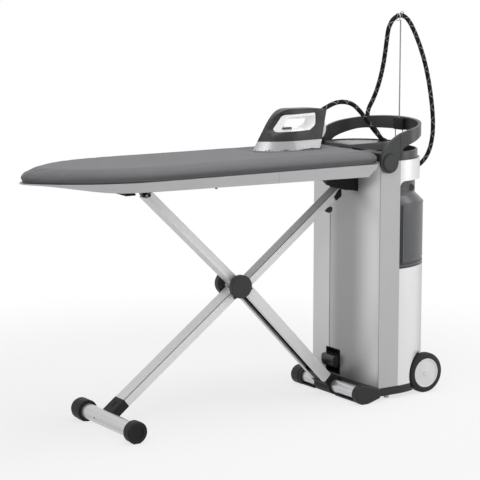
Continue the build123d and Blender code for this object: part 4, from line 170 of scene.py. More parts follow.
def linkPiece(name, data):
    piece = bpy.data.objects.new(name, data)
    bpy.context.scene.collection.objects.link(piece)
    return piece


def shownMesh(piece):
    # The mesh that a piece shows once its modifiers have worked
    return bpy.data.meshes.new_from_object(piece.evaluated_get(bpy.context.evaluated_depsgraph_get()))


def portion(value, start, end):
    # How far a value is on its way from start to end, from 0 to 1
    return min(1, max(0, (value - start) / (end - start)))


# Camera at the photograph's angle
cameraLook = {"place": (-3.096, -4.796, 1.490), "down": 9.191, "turn": -33.156, "lens": 132.9, "sensor": 36}
camera = linkPiece("camera", bpy.data.cameras.new("camera"))
camera.location = cameraLook["place"]
camera.rotation_euler = (math.radians(90 - cameraLook["down"]), 0, math.radians(cameraLook["turn"]))
camera.data.lens = cameraLook["lens"]
camera.data.sensor_width = cameraLook["sensor"]
camera.data.clip_end = 60
bpy.context.scene.camera = camera
bpy.context.scene.view_settings.view_transform = "Standard"

# The hose in two lengths: deck to iron, and deck over the holder ring to the back of the column
hose = {
    "diameter": 0.0155,
    "sides": 16,
    "steps": 10,
    "frontLength": 0.3216,
    "rearLength": 1.1850,
    "front": [
        (0.402, 0.054, 0.967), (0.438, 0.054, 0.985), (0.483, 0.054, 0.994), (0.531, 0.054, 0.984),
        (0.564, 0.054, 0.956), (0.588, 0.054, 0.929), (0.613, 0.054, 0.900), (0.640, 0.054, 0.873),
        (0.664, 0.054, 0.851),
    ],
    "rear": [
        (0.676, 0.072, 0.848), (0.679, 0.088, 0.856), (0.680, 0.104, 0.870), (0.676, 0.122, 0.889),
        (0.670, 0.139, 0.909), (0.667, 0.150, 0.932), (0.679, 0.156, 0.956), (0.694, 0.154, 0.981),
        (0.699, 0.136, 1.020), (0.690, 0.102, 1.072), (0.670, 0.058, 1.137), (0.649, 0.020, 1.201),
        (0.643, 0.004, 1.241), (0.659, 0.000, 1.271), (0.690, 0.000, 1.284), (0.721, 0.000, 1.272),
        (0.750, 0.000, 1.231), (0.781, 0.000, 1.170), (0.808, 0.000, 1.098), (0.829, 0.001, 1.014),
        (0.843, 0.003, 0.933), (0.848, 0.007, 0.873), (0.844, 0.013, 0.824), (0.832, 0.020, 0.787),
        (0.808, 0.027, 0.760), (0.775, 0.030, 0.748), (0.748, 0.030, 0.748),
    ],
}


def curveMesh(name, points, radius):
    # A smooth line through the route, or the tube about it where it has a radius
    curve = bpy.data.curves.new(name, "CURVE")
    curve.dimensions = "3D"
    line = curve.splines.new("NURBS")
    line.points.add(len(points) - 1)
    for spot, place in zip(line.points, points):
        spot.co = (*place, 1)
    line.order_u = 3
    line.use_endpoint_u = True
    line.resolution_u = hose["steps"]
    curve.bevel_depth = radius
    curve.bevel_resolution = hose["sides"] // 2 - 2
    curve.use_fill_caps = radius > 0
    holder = linkPiece(name, curve)
    mesh = bpy.data.meshes.new_from_object(holder)
    bpy.data.objects.remove(holder)
    return mesh


def hoseTube(name, points):
    # The line gives the length along the hose, which the braid follows
    centre = [v.co.copy() for v in curveMesh(name + "Line", points, 0).vertices]
    mesh = curveMesh(name + "Round", points, hose["diameter"] / 2)
    mesh.name = name
    along = [0.0]
    for a, b in zip(centre, centre[1:]):
        along.append(along[-1] + (b - a).length)
    sides = len(mesh.vertices) // len(centre)
    weave = mesh.uv_layers.new(name="braidMap")
    for face in mesh.polygons:
        turns = [mesh.loops[i].vertex_index % sides for i in face.loop_indices]
        wraps = len(turns) == 4 and max(turns) - min(turns) > sides / 2
        for i, turn in zip(face.loop_indices, turns):
            ring = mesh.loops[i].vertex_index // sides
            around = turn + sides if wraps and turn < sides / 2 else turn
            weave.data[i].uv = (along[min(ring, len(along) - 1)], around / sides)
        face.use_smooth = len(turns) == 4
    print(name, "rings", len(centre), "sides", sides, "length", round(along[-1], 4))
    return linkPiece(name, mesh), [tuple(p) for p in centre]


frontHose, frontLine = hoseTube("frontHose", hose["front"])
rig.ride(frontHose, "iron")
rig.replaces(frontHose, "hose_front")
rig.cord(frontHose, exit=frontLine[0], length=hose["frontLength"], diameter=hose["diameter"], far_end="object",
        stiffness="medium", lay="hanging", path=frontLine)
rearHose, rearLine = hoseTube("rearHose", hose["rear"])
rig.ride(rearHose, "root")
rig.replaces(rearHose, "hose_rear")
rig.cord(rearHose, exit=rearLine[0], length=hose["rearLength"], diameter=hose["diameter"], far_end="object",
        stiffness="medium", lay="hanging", path=rearLine)
for piece in (frontHose, rearHose):
    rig.slot(piece, "hose_textile")
print("hoses routed")


# Shader nodes
def feed(tree, node, inputs):
    # Gives each of a node's inputs a value or another node's output
    for key, value in dict(inputs).items():
        if isinstance(value, bpy.types.NodeSocket):
            tree.links.new(value, node.inputs[key])
        else:
            node.inputs[key].default_value = value


def addNode(tree, kind, settings=(), inputs=()):
    node = tree.nodes.new("ShaderNode" + kind)
    for key, value in dict(settings).items():
        setattr(node, key, value)
    feed(tree, node, inputs)
    return node


def calc(tree, operation, *values):
    return addNode(tree, "Math", {"operation": operation}, enumerate(values)).outputs[0]


def ramp(tree, value, start, end, low=0.0, high=1.0, blend="LINEAR"):
    # Takes a value between start and end over to one between low and high
    return addNode(tree, "MapRange", {"interpolation_type": blend}, {
        "Value": value, "From Min": start, "From Max": end, "To Min": low, "To Max": high,
    }).outputs[0]


def noise(tree, place, scale, detail, roughness):
    return addNode(tree, "TexNoise", inputs={
        "Vector": place, "Scale": scale, "Detail": detail, "Roughness": roughness,
    }).outputs["Fac"]


def objectPlace(tree):
    return addNode(tree, "TexCoord").outputs["Object"]


def mixColours(tree, share, first, second):
    inputs = {"Factor": share, "A": first, "B": second}
    return addNode(tree, "Mix", {"data_type": "RGBA"}, inputs).outputs["Result"]


def tone(parts):
    # A colour from red, green and blue, or from a pair where red and green are alike
    return (*parts, 1) if len(parts) == 3 else (parts[0], *parts, 1)


def startMaterial(name, inputs):
    material = bpy.data.materials.new(name)
    material.use_nodes = True
    tree = material.node_tree
    shader = tree.nodes["Principled BSDF"]
    feed(tree, shader, inputs)
    return material, tree, shader


# Light: a soft box from the front left, a wide one overhead and a fill from the right
studio = {
    "floorSize": 60, "floorColour": (0.86, 0.86), "floorRough": 0.9, "floorFade": (0.9, 2.2), "floorShare": (0.72, 1.0),
    "roomGrey": (0.97, 0.98, 1.0), "roomLevel": 0.34,
    "boxes": {
        "frontLeftBox": ((-3.6, -3.4, 3.2), (0, 0, 0.5), 2.6, 2.6, 62),
        "overheadBox": ((0.3, -0.4, 4.2), (0.1, 0, 0.5), 3.4, 2.4, 66),
        "rightBox": ((3.8, -2.0, 1.6), (0.5, 0, 0.5), 1.6, 2.6, 52),
    },
}


def softBox(name, place, aim, width, height, watts):
    light = bpy.data.lights.new(name, "AREA")
    light.shape = "RECTANGLE"
    light.size, light.size_y, light.energy = width, height, watts
    lamp = linkPiece(name, light)
    lamp.location = place
    lamp.rotation_euler = (Vector(aim) - Vector(place)).to_track_quat("-Z", "Y").to_euler()


def seenDirectly(tree):
    # 1 where the camera sees a surface, itself or in metal and glass
    rays = addNode(tree, "LightPath").outputs
    first = calc(tree, "MAXIMUM", rays["Is Camera Ray"], rays["Is Glossy Ray"])
    return calc(tree, "MAXIMUM", first, rays["Is Transmission Ray"])


def makeRoom():
    world = bpy.data.worlds.new("paleRoom")
    world.use_nodes = True
    bpy.context.scene.world = world
    tree = world.node_tree
    tree.nodes.clear()
    room = addNode(tree, "Background", inputs={"Color": tone(studio["roomGrey"]), "Strength": studio["roomLevel"]})
    white = addNode(tree, "Background", inputs={"Color": (1, 1, 1, 1)})
    mix = addNode(tree, "MixShader", inputs={0: seenDirectly(tree), 1: room.outputs[0], 2: white.outputs[0]})
    addNode(tree, "OutputWorld", inputs={"Surface": mix.outputs[0]})


def makeFloor():
    form = bmesh.new()
    bmesh.ops.create_grid(form, x_segments=1, y_segments=1, size=studio["floorSize"] / 2)
    mesh = bpy.data.meshes.new("floor")
    form.to_mesh(mesh)
    form.free()
    floor = linkPiece("floor", mesh)
    inputs = {"Base Color": tone(studio["floorColour"]), "Roughness": studio["floorRough"]}
    paper, tree, shader = startMaterial("floorPaper", inputs)
    # White paper all round, with the object's shadow kept near its feet
    reach = addNode(tree, "VectorMath", {"operation": "LENGTH"}, {0: objectPlace(tree)}).outputs["Value"]
    fade = ramp(tree, reach, *studio["floorFade"], *studio["floorShare"], "SMOOTHSTEP")
    mix = addNode(tree, "MixShader", inputs={
        0: calc(tree, "MULTIPLY", seenDirectly(tree), fade), 1: shader.outputs[0],
        2: addNode(tree, "Emission").outputs[0],
    })
    feed(tree, tree.nodes["Material Output"], {"Surface": mix.outputs[0]})
    mesh.materials.append(paper)
    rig.stage(floor)


makeRoom()
makeFloor()
for name, row in studio["boxes"].items():
    softBox(name, *row)
print("studio lit")


# Shared surface effects
def surfaceEffect(name, extra, start, end, pattern):
    # A group that mixes two colours and two levels of gloss by a pattern, and gives a height for the bump
    group = bpy.data.node_groups.new(name, "ShaderNodeTree")
    takes = {"Colour": "Color", "Shade": "Color", "Gloss": "Float", "Gloss Spread": "Float", **extra}
    gives = {"Colour": "Color", "Roughness": "Float", "Height": "Float"}
    for way, sockets in (("INPUT", takes), ("OUTPUT", gives)):
        for label, kind in sockets.items():
            group.interface.new_socket(name=label, in_out=way, socket_type="NodeSocket" + kind)
    given = group.nodes.new("NodeGroupInput").outputs
    shape, height = pattern(group, given)
    share = ramp(group, shape, start, end)
    feed(group, group.nodes.new("NodeGroupOutput"), {
        "Colour": mixColours(group, share, given["Colour"], given["Shade"]),
        "Roughness": calc(group, "MULTIPLY_ADD", share, given["Gloss Spread"], given["Gloss"]),
        "Height": height,
    })
    return group


def mouldedPattern(group, given):
    # Fine grain, with patches a little darker and glossier where hands and dust have been
    place = objectPlace(group)
    return noise(group, place, given["Patches"], 4.0, 0.55), noise(group, place, given["Grain"], 3.0, 0.6)


def brushedPattern(group, given):
    # Streaks drawn out along the metal; the mapping in each material sets their direction
    streak = noise(group, given["Vector"], 1.0, 5.0, 0.7)
    return streak, streak


effects = {
    "moulded": surfaceEffect("mouldedGrain", {"Grain": "Float", "Patches": "Float"}, 0.3, 0.7, mouldedPattern),
    "brushed": surfaceEffect("brushedLines", {"Vector": "Vector"}, 0.25, 0.75, brushedPattern),
}
bumpReach = {"moulded": 0.0004, "brushed": 0.0002}
plasticFeel = (900, 9, 0.4, 0.12, 0.15)
specular = "Specular IOR Level"


def applyEffect(tree, shader, name, colour, shade, gloss, spread, bump, inputs):
    # Feeds a finish from a shared effect; without a bump it stays smooth
    effect = addNode(tree, "Group", {"node_tree": effects[name]}, {
        "Colour": tone(colour), "Shade": tone(shade), "Gloss": gloss, "Gloss Spread": spread, **inputs,
    }).outputs
    feed(tree, shader, {"Base Color": effect["Colour"], "Roughness": effect["Roughness"]})
    if bump is not None:
        relief = {"Strength": bump, "Distance": bumpReach[name], "Height": effect["Height"]}
        feed(tree, shader, {"Normal": addNode(tree, "Bump", inputs=relief).outputs["Normal"]})


def plasticFinish(name, colour, shade, feel, inputs=()):
    # The feel is grain, patches, gloss, spread of gloss and bump, as far as they differ from the usual
    material, tree, shader = startMaterial(name, inputs)
    grain, patches, gloss, spread, bump = (*feel, *plasticFeel[len(feel):])
    applyEffect(tree, shader, "moulded", colour, shade, gloss, spread, bump, {"Grain": grain, "Patches": patches})
    return material


def metalFinish(name, colour, shade, stretch, turn, gloss, spread=0.15, bump=0.08, metallic=1.0):
    material, tree, shader = startMaterial(name, {"Metallic": metallic})
    lay = addNode(tree, "Mapping", {"vector_type": "TEXTURE"}, {"Vector": objectPlace(tree), "Rotation": (0, turn, 0)})
    drawn = addNode(tree, "VectorMath", {"operation": "MULTIPLY"}, {0: lay.outputs["Vector"], 1: stretch})
    applyEffect(tree, shader, "brushed", colour, shade, gloss, spread, bump, {"Vector": drawn.outputs["Vector"]})
    return material


def fadeColour(material, axis, low, high, colour):
    # Draws a finish over to another colour along one axis of the object
    tree = material.node_tree
    socket = tree.nodes["Principled BSDF"].inputs["Base Color"]
    parts = addNode(tree, "SeparateXYZ", inputs={0: objectPlace(tree)}).outputs
    share = ramp(tree, parts[axis], low, high, blend="SMOOTHSTEP")
    tree.links.new(mixColours(tree, share, socket.links[0].from_socket, tone(colour)), socket)


# Metals: colour, its shade, stretch of the streaks, their turn, gloss, its spread, bump and metal share
outerLay = math.atan2(0.7068, -0.7198)
innerLay = math.atan2(0.7031, 0.9021)
metals = {
    "outerLegMetal": ((0.74, 0.745), (0.68, 0.69), (5, 500, 500), -outerLay, 0.5, 0.06, 0.02, 0.5),
    "innerLegMetal": ((0.76, 0.76), (0.70, 0.71), (5, 500, 500), -innerLay, 0.5, 0.06, 0.02, 0.5),
    # A darker copy of the inner leg's metal, for its faces that look up under the board, as painted shade
    "innerLegTop": ((0.54, 0.54), (0.46, 0.47), (5, 500, 500), -innerLay, 0.5, 0.06, 0.02, 0.5),
    "tubeSteel": ((0.66, 0.67), (0.52, 0.53), (260, 3, 260), 0, 0.24, 0.1, 0.08, 0.8),
    "turnedSteel": ((0.58, 0.59), (0.45, 0.46), (300, 30, 300), 0, 0.35),
    "rodWire": ((0.34, 0.345), (0.30, 0.305), (300, 300, 12), 0, 0.35, 0.05, 0.02, 0.4),
    "paleWire": ((0.60, 0.60), (0.54, 0.54), (300, 300, 12), 0, 0.3, 0.05, 0.02, 0.3),
    "plateSheet": ((0.5, 0.51), (0.4, 0.41), (8, 300, 300), 0, 0.45),
    "soleMetal": ((0.72, 0.72), (0.6, 0.6), (10, 400, 400), 0, 0.22),
    "boilerMetal": ((0.6, 0.6), (0.48, 0.48), (40, 40, 500), 0, 0.4),
}
# Lacquers, plastics and rubbers: colour, its shade, feel and other inputs of the shader
plastics = {
    "trayLacquer": ((0.52, 0.515), (0.49, 0.485), (1400, 5, 0.42, 0.08, 0.08)),
    "panelLacquer": ((0.37, 0.375), (0.355, 0.36), (2400, 3, 0.34, 0.05, 0.05), {"Metallic": 0.4}),
    "stripLacquer": ((0.76, 0.76), (0.73, 0.735), (2400, 3, 0.34, 0.05, 0.05), {"Metallic": 0.3}),
    "pillarLacquer": ((0.51, 0.515), (0.48, 0.485), (2400, 3, 0.36, 0.05, 0.05), {"Metallic": 0.25}),
    # The shell's grey is raised at its front as painted light, and turns darker towards the rear in the fades below
    "shellLacquer": ((0.80, 0.805), (0.78, 0.785), (2400, 3, 0.32, 0.05, 0.05), {"Metallic": 0.3}),
    "darkMoulding": ((0.006, 0.007), (0.010, 0.011), (1100, 12, 0.5), {specular: 0.25}),
    "baseMoulding": ((0.013, 0.014), (0.020, 0.021), (1100, 10, 0.5), {specular: 0.35}),
    "hubPlastic": ((0.026, 0.027), (0.033, 0.034), (1200, 12, 0.5), {specular: 0.35}),
    "capPlastic": ((0.013, 0.014), (0.018, 0.019), (1200, 12, 0.42), {specular: 0.35}),
    "handlePlastic": ((0.034, 0.035, 0.037), (0.040, 0.041, 0.043), (1300, 8, 0.32, 0.06), {specular: 0.4}),
    "deckPlastic": ((0.024, 0.025, 0.026), (0.030, 0.031, 0.032), (1300, 8, 0.28, 0.06), {specular: 0.35}),
    # Dark grey for the strip on the inner leg, painted shade in its groove
    "seamGrey": ((0.06, 0.065), (0.07, 0.075), (1200, 12, 0.5)),
    "bracketPlastic": ((0.004, 0.004), (0.007, 0.007), (1200, 12, 0.55), {specular: 0.25}),
    # Black for the band of painted shadow under the iron's band
    "gasketPlastic": ((0.006, 0.006), (0.01, 0.01), (1200, 12, 0.5)),
    "blockPlastic": ((0.006, 0.007), (0.010, 0.011), (1200, 12, 0.4), {specular: 0.3}),
    "discPlastic": ((0.030, 0.032), (0.035, 0.037), (1300, 8, 0.38), {specular: 0.4}),
    # Lighter than the deck plastic, a painted highlight on the ledge top
    "ledgePlastic": ((0.13, 0.133), (0.14, 0.143), (1300, 8, 0.22, 0.06)),
    "smokedDark": ((0.020, 0.022), (0.026, 0.028), (1300, 8, 0.3), {specular: 0.3}),
    "smokedPale": ((0.15, 0.155), (0.13, 0.135), (1300, 8, 0.3)),
    "pedalPlastic": ((0.02, 0.022), (0.028, 0.03), (900, 14, 0.2, 0.1, 0.05)),
    "palePlastic": ((0.62, 0.60), (0.55, 0.53), (1000, 20, 0.45)),
    "softRubber": ((0.022, 0.022), (0.032, 0.032), (700, 18, 0.75, 0.12, 0.3)),
    "tyreRubber": ((0.012, 0.013), (0.018, 0.018), (600, 14, 0.62, 0.16, 0.3), {specular: 0.35}),
    "wheelPaint": ((0.76, 0.76), (0.70, 0.70), (1500, 14, 0.38, 0.1, 0.06), {"Metallic": 0.2}),
    "buttonGrey": ((0.30, 0.31), (0.26, 0.27), (1200, 30, 0.35)),
    "ironDark": ((0.022, 0.024), (0.025, 0.027), (1600, 14, 0.34, 0.05, 0.03), {specular: 0.4}),
    # The iron's white plastic glows faintly, painted light standing in for light through it
    "ironWhite": ((0.95, 0.95), (0.93, 0.93), (1500, 20, 0.2, 0.06, 0.03),
                  {"Coat Weight": 0.4, "Emission Color": (1, 1, 1, 1), "Emission Strength": 0.10}),
    "ironSilver": ((0.40, 0.41), (0.38, 0.39), (300, 6, 0.26, 0.03, 0.01), {"Metallic": 0.75}),
    "displayGlass": ((0.012, 0.015), (0.016, 0.02), (500, 30, 0.08, 0.04, 0.0), {"Coat Weight": 1.0}),
    "pumpPlastic": ((0.2, 0.22), (0.16, 0.18), (900, 20, 0.3)),
    "boardLacquer": ((0.03, 0.12, 0.06), (0.02, 0.08, 0.04), (600, 40, 0.25)),
    # Clear smoked wall; its neck, up in the recessed bay, is painted darker as shade
    "smokedClear": ((0.070, 0.071, 0.079), (0.079, 0.080, 0.088), (500, 7, 0.30, 0.1, None),
                    {"Coat Weight": 0.15, "Coat Roughness": 0.2, "IOR": 1.45, "Alpha": 0.9}),
}
# Finishes that turn to another colour: axis of the object, where from, where to, and that colour; most of these turns
# are painted light and shade
fades = (
    # The panel turns lighter towards its near edge and beside the groove, as painted reflection
    ("panelLacquer", "Y", -0.030, -0.160, (0.80, 0.805)), ("panelLacquer", "Y", 0.040, 0.092, (0.52, 0.525)),
    # The shell's front is painted light and turns darker towards the rear; the cover turns darker at its lower edge as
    # painted shade where it meets the tray
    ("shellLacquer", "X", 0.630, 0.700, (0.50, 0.505)), ("coverCloth", "Z", 0.830, 0.811, (0.085, 0.09)),
    # The tank's neck turns darker as painted shade in its recessed bay; the iron's body turns darker towards its lower
    # edge
    ("smokedClear", "Z", 0.690, 0.704, (0.030, 0.032)), ("ironDark", "Z", 0.905, 0.880, (0.012, 0.013)),
)
braid = {
    "pitch": 0.045, "strands": 12, "thread": 0.075, "dashes": (-0.15, 0.25), "black": (0.008, 0.009),
    "pale": (0.62, 0.62), "relief": {"Strength": 0.6, "Distance": 0.0006},
}
cloth = {
    "fibres": (900.0, 4.0, 0.75), "mixed": (0.3, 0.7), "dark": (0.118, 0.127), "pale": (0.195, 0.205),
    "marks": (5.0, 4.0, 0.5), "marked": (0.4, 0.7, 0.0, 0.4), "worn": (0.17, 0.18), "rough": (0.0, 1.0, 0.62, 0.8),
    "threads": {"Scale": 260.0, "Distortion": 0.6, "Detail": 1.0}, "relief": {"Strength": 0.35, "Distance": 0.0005},
}


def braidFinish():
    # Black textile braid: crossing strands, with a pale thread laid in each way round the hose
    material, tree, shader = startMaterial("hoseBraid", {"Roughness": 0.85, specular: 0.25})
    chart = addNode(tree, "UVMap", {"uv_map": "braidMap"}).outputs["UV"]
    parts = addNode(tree, "SeparateXYZ", inputs={0: chart}).outputs

    def strands(count, sign):
        # Phase of a set of helical strands, one turn of the hose every pitch
        along = calc(tree, "MULTIPLY", parts["X"], count / braid["pitch"])
        return calc(tree, "ADD", along, calc(tree, "MULTIPLY", parts["Y"], sign * count))

    waves, threads = [], []
    for sign in (1, -1):
        turned = calc(tree, "MULTIPLY", strands(braid["strands"], sign), 2 * math.pi)
        waves.append(calc(tree, "SINE", turned))
        threads.append(calc(tree, "LESS_THAN", calc(tree, "FRACT", strands(1, sign)), braid["thread"]))
    relief = calc(tree, "MULTIPLY", *waves)
    # The pale thread dips under its neighbours, so it shows as short dashes
    flecks = calc(tree, "MULTIPLY", calc(tree, "MAXIMUM", *threads), ramp(tree, relief, *braid["dashes"]))
    bump = addNode(tree, "Bump", inputs={"Height": relief, **braid["relief"]})
    feed(tree, shader, {
        "Base Color": mixColours(tree, flecks, tone(braid["black"]), tone(braid["pale"])),
        "Normal": bump.outputs["Normal"],
    })
    return material


def clothFinish():
    # Heather cloth: two thread directions, mixed pale and dark fibres, faint pressing marks
    material, tree, shader = startMaterial("coverCloth", {"Sheen Weight": 0.12, "Sheen Roughness": 0.5})
    place = objectPlace(tree)
    fibres, marks = noise(tree, place, *cloth["fibres"]), noise(tree, place, *cloth["marks"])
    waves = [addNode(tree, "TexWave", {"bands_direction": way}, {"Vector": place, **cloth["threads"]}).outputs["Fac"]
             for way in ("X", "Y")]
    heather = mixColours(tree, ramp(tree, fibres, *cloth["mixed"]), tone(cloth["dark"]), tone(cloth["pale"]))
    bump = addNode(tree, "Bump", inputs={"Height": calc(tree, "MAXIMUM", *waves), **cloth["relief"]})
    feed(tree, shader, {
        "Base Color": mixColours(tree, ramp(tree, marks, *cloth["marked"]), heather, tone(cloth["worn"])),
        "Roughness": ramp(tree, marks, *cloth["rough"]),
        "Normal": bump.outputs["Normal"],
    })
    return material


finishes = {
    **{name: metalFinish(name, *row) for name, row in metals.items()},
    **{name: plasticFinish(name, *row) for name, row in plastics.items()},
    "hoseBraid": braidFinish(), "coverCloth": clothFinish(),
}
for name, *fade in fades:
    fadeColour(finishes[name], *fade)
print("finishes mixed:", len(finishes))

# Every CAD node by its finish, with the width of its softened edges in metres, or 0 where it has none
nodeLook = {
    "trayLacquer": {"board_tray": 0.0012},
    "plateSheet": {"ironing_plate": 0, "guide_rail": 0.0004},
    "darkMoulding": {
        "rear_bracket": 0.0015, "underside_fittings": 0.0006, "release_lever": 0.0012, "leg_sleeve": 0.0015,
        "rail_carriage": 0.0005, "front_joint": 0.0015, "front_caps": 0.0012, "panel_liners": 0.0006,
        "power_inlet": 0.0006, "hose_fittings": 0.0008,
    },
    "turnedSteel": {"board_pin": 0, "wheel_axle": 0},
    "palePlastic": {"rail_rollers": 0.0004, "hub_bushes": 0, "corner_pads": 0.0006},
    "tubeSteel": {"front_bar": 0.0006, "base_bar": 0.0004},
    "baseMoulding": {"base_tray": 0.0012, "base_feet": 0.0015},
    "tyreRubber": {"tyre_near": 0.0008, "tyre_far": 0.0008},
    "wheelPaint": {"wheel_near": 0.0008, "wheel_far": 0.0008},
    "pillarLacquer": {"side_pillars": 0.0008},
    "deckPlastic": {"top_deck": 0.0022},
    "buttonGrey": {"power_button": 0.0005},
    "handlePlastic": {"handle_bow": 0.0024, "handle_arms": 0.0015},
    "capPlastic": {"handle_caps": 0.0010},
    "blockPlastic": {"rod_block": 0.0045},
    "pedalPlastic": {"latch_pedal": 0.0015},
    "boilerMetal": {"boiler": 0},
    "pumpPlastic": {"feed_pump": 0},
    "boardLacquer": {"control_board": 0},
    "soleMetal": {"iron_soleplate": 0.0006},
    "ironSilver": {"iron_band": 0.0008, "steam_button": 0.0006},
    "ironDark": {"iron_body": 0.0020},
    "ironWhite": {"iron_heel": 0.0015, "grip_insert": 0.0008},
    "displayGlass": {"iron_display": 0.0004},
}
softEdge = {"angle": math.radians(34), "segments": 2, "flat": math.radians(0.4), "merge": 0.00001, "close": 0.00002}
bodyOf = {node: body for body, nodes in frame["record"]["behaviour"]["bodies"].items() for node in nodes}
slotOf = {part["node"]: part["material_slot"] for part in frame["record"]["subparts"]}


def mergedCopy(node, name):
    form = bmesh.new()
    form.from_mesh(frame["nodes"][node].data)
    bmesh.ops.remove_doubles(form, verts=form.verts, dist=softEdge["merge"])
    bmesh.ops.dissolve_limit(form, angle_limit=softEdge["flat"], verts=form.verts, edges=form.edges, delimit=set())
    mesh = bpy.data.meshes.new(name)
    form.to_mesh(mesh)
    form.free()
    if "custom_normal" in mesh.attributes:
        mesh.attributes.remove(mesh.attributes["custom_normal"])
    return mesh


def coat(piece, look):
    piece.data.materials.clear()
    piece.data.materials.append(finishes[look])


def finishPiece(piece, look, width, like, *replaced):
    # Gives a piece its finish and rounded edges, and the body and slot of the node it is like
    coat(piece, look)
    piece.data.shade_smooth()
    piece.data.set_sharp_from_angle(angle=softEdge["angle"])
    if width:
        rounding = piece.modifiers.new("roundedEdges", "BEVEL")
        rounding.width, rounding.segments = width, softEdge["segments"]
        rounding.limit_method = "ANGLE"
        rounding.angle_limit = softEdge["angle"]
        rounding.use_clamp_overlap = True
        rounding.harden_normals = True
    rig.ride(piece, bodyOf[like])
    if replaced:
        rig.replaces(piece, *replaced)
    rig.slot(piece, slotOf[like])
    return piece


def formPiece(name, form):
    # Closes a bmesh into a piece, with its faces turned outwards
    bmesh.ops.remove_doubles(form, verts=form.verts, dist=softEdge["close"])
    bmesh.ops.recalc_face_normals(form, faces=form.faces)
    mesh = bpy.data.meshes.new(name)
    form.to_mesh(mesh)
    form.free()
    return linkPiece(name, mesh)


def drawPiece(name, look, width, like, *steps, stands=True):
    # A piece from drawing steps, each a function and what it is given; it stands for the node it is like, or not
    form = bmesh.new()
    for step, *given in steps:
        step(form, *given)
    return finishPiece(formPiece(name, form), look, width, like, *([like] if stands else []))


def newVerts(made):
    return [v for v in made["geom"] if isinstance(v, bmesh.types.BMVert)]


def addExtrusion(form, outline, move):
    # A solid from a flat outline, drawn out by one move
    face = form.faces.new([form.verts.new(place) for place in outline])
    made = bmesh.ops.extrude_face_region(form, geom=[face], use_keep_orig=True)
    bmesh.ops.translate(form, vec=move, verts=newVerts(made))


def addPrism(form, outline, low, high):
    # A side view outline of (x, z) places, solid from low to high in y
    addExtrusion(form, [(x, low, z) for x, z in outline], (0, high - low, 0))


def addPlan(form, outline, low, high):
    # A plan of (x, y) places, solid from low to high
    addExtrusion(form, [(x, y, low) for x, y in outline], (0, 0, high - low))


def addBox(form, low, high):
    made = bmesh.ops.create_cube(form, size=1)["verts"]
    bmesh.ops.scale(form, vec=Vector(high) - Vector(low), verts=made)
    bmesh.ops.translate(form, vec=(Vector(high) + Vector(low)) / 2, verts=made)


def addBar(form, radius, place, length, axis="Z", sides=24):
    # A round bar about a place, along z unless it is turned to another axis
    turns = {"X": (90, "Y"), "Y": (90, "X"), "Z": (0, "X")}
    angle, about = turns[axis]
    lay = Matrix.Translation(place) @ Matrix.Rotation(math.radians(angle), 4, about)
    bmesh.ops.create_cone(form, cap_ends=True, segments=sides, radius1=radius, radius2=radius, depth=length, matrix=lay)


def addRound(form, radius, low, high, place, sides):
    # A round bar across the object, from low to high in y
    addBar(form, radius, (place[0], (low + high) / 2, place[1]), high - low, "Y", sides)


def addPair(form, radius, inner, outer, place, sides):
    # The same round on both sides of the object
    addRound(form, radius, -outer, -inner, place, sides)
    addRound(form, radius, inner, outer, place, sides)


for piece in (frontHose, rearHose):
    coat(piece, "hoseBraid")
dressed = {}
for look, nodes in nodeLook.items():
    for node, width in nodes.items():
        if width:
            # A merged copy with rounded edges stands for the node
            piece = linkPiece(node + "Dressed", mergedCopy(node, node + "Dressed"))
            dressed[node] = finishPiece(piece, look, width, node, node)
        else:
            for place in frame["nodes"][node].material_slots:
                place.link = "OBJECT"
                place.material = finishes[look]
print("nodes dressed:", len(dressed))

# Small changes of shape to dressed pieces, each a rule for where a place goes
boardEnd = {"from": 0.380, "rear": 0.449, "corner": 0.028, "half": 0.200, "power": 6, "reach": 0.0105,
            "slant": 0.019, "top": 0.806, "bottom": 0.766}
# Spans in y of the pieces at the ends of the two bars, before and after, and how far the bars reach
farEnds = {"beyond": 0.1, "caps": (0.175, 0.208, 0.115, 0.174), "feet": (0.172, 0.205, 0.128, 0.183),
           "frontBar": 0.160, "baseBar": 0.170}
handle = {"sink": 0.0035, "sinkFrom": 0.540, "sinkTo": 0.620, "bendFrom": 0.600, "bend": 0.90,
          "block": 0.7005, "blockMid": 0.6955, "blockDepth": 0.62}
iron = {"base": 0.877, "squat": 0.955, "windowShift": 0.0185, "displayShift": 0.012, "windowNear": 0.003,
        "middle": (0.26, 0.054), "half": 0.040, "bulge": (-0.1055, 1.58),
        # Top and bottom of the black band of painted shadow under the iron's band, and how far it stands out
        "seal": 0.8495, "sealLow": 0.8452, "sealProud": 0.0008}
windowEdge = [v.co.copy() for v in frame["nodes"]["grip_insert"].data.vertices]


def boardEndPlace(x, y, z):
    # Draws the rear end out, squares its corners and slants it in towards the bottom
    corner, power = boardEnd["corner"], boardEnd["power"]
    out, side = (x - boardEnd["rear"] + corner) / corner, (abs(y) - boardEnd["half"] + corner) / corner
    if out > 0 and side > 0:
        swell = math.hypot(out, side) / (out ** power + side ** power) ** (1 / power)
        x, y = x + out * (swell - 1) * corner, y + math.copysign(side * (swell - 1) * corner, y)
    share = portion(x, boardEnd["from"], boardEnd["rear"])
    drop = portion(z, boardEnd["top"], boardEnd["bottom"])
    return x + share * (boardEnd["reach"] - boardEnd["slant"] * drop), y, z


def farEndPlace(inner, outer, newInner, newOuter):
    def place(x, y, z):
        if y < farEnds["beyond"]:
            return x, y, z
        return x, newInner + (y - inner) * (newOuter - newInner) / (outer - inner), z
    return place


def shortenFar(most):
    return lambda x, y, z: (x, min(y, most), z)


def bowPlace(x, y, z):
    z -= handle["sink"] * portion(x, handle["sinkFrom"], handle["sinkTo"])
    return (x if x < handle["bendFrom"] else handle["bendFrom"] + (x - handle["bendFrom"]) * handle["bend"]), y, z


def blockPlace(x, y, z):
    return handle["blockMid"] + (x - handle["block"]) * handle["blockDepth"], y, z - handle["sink"]


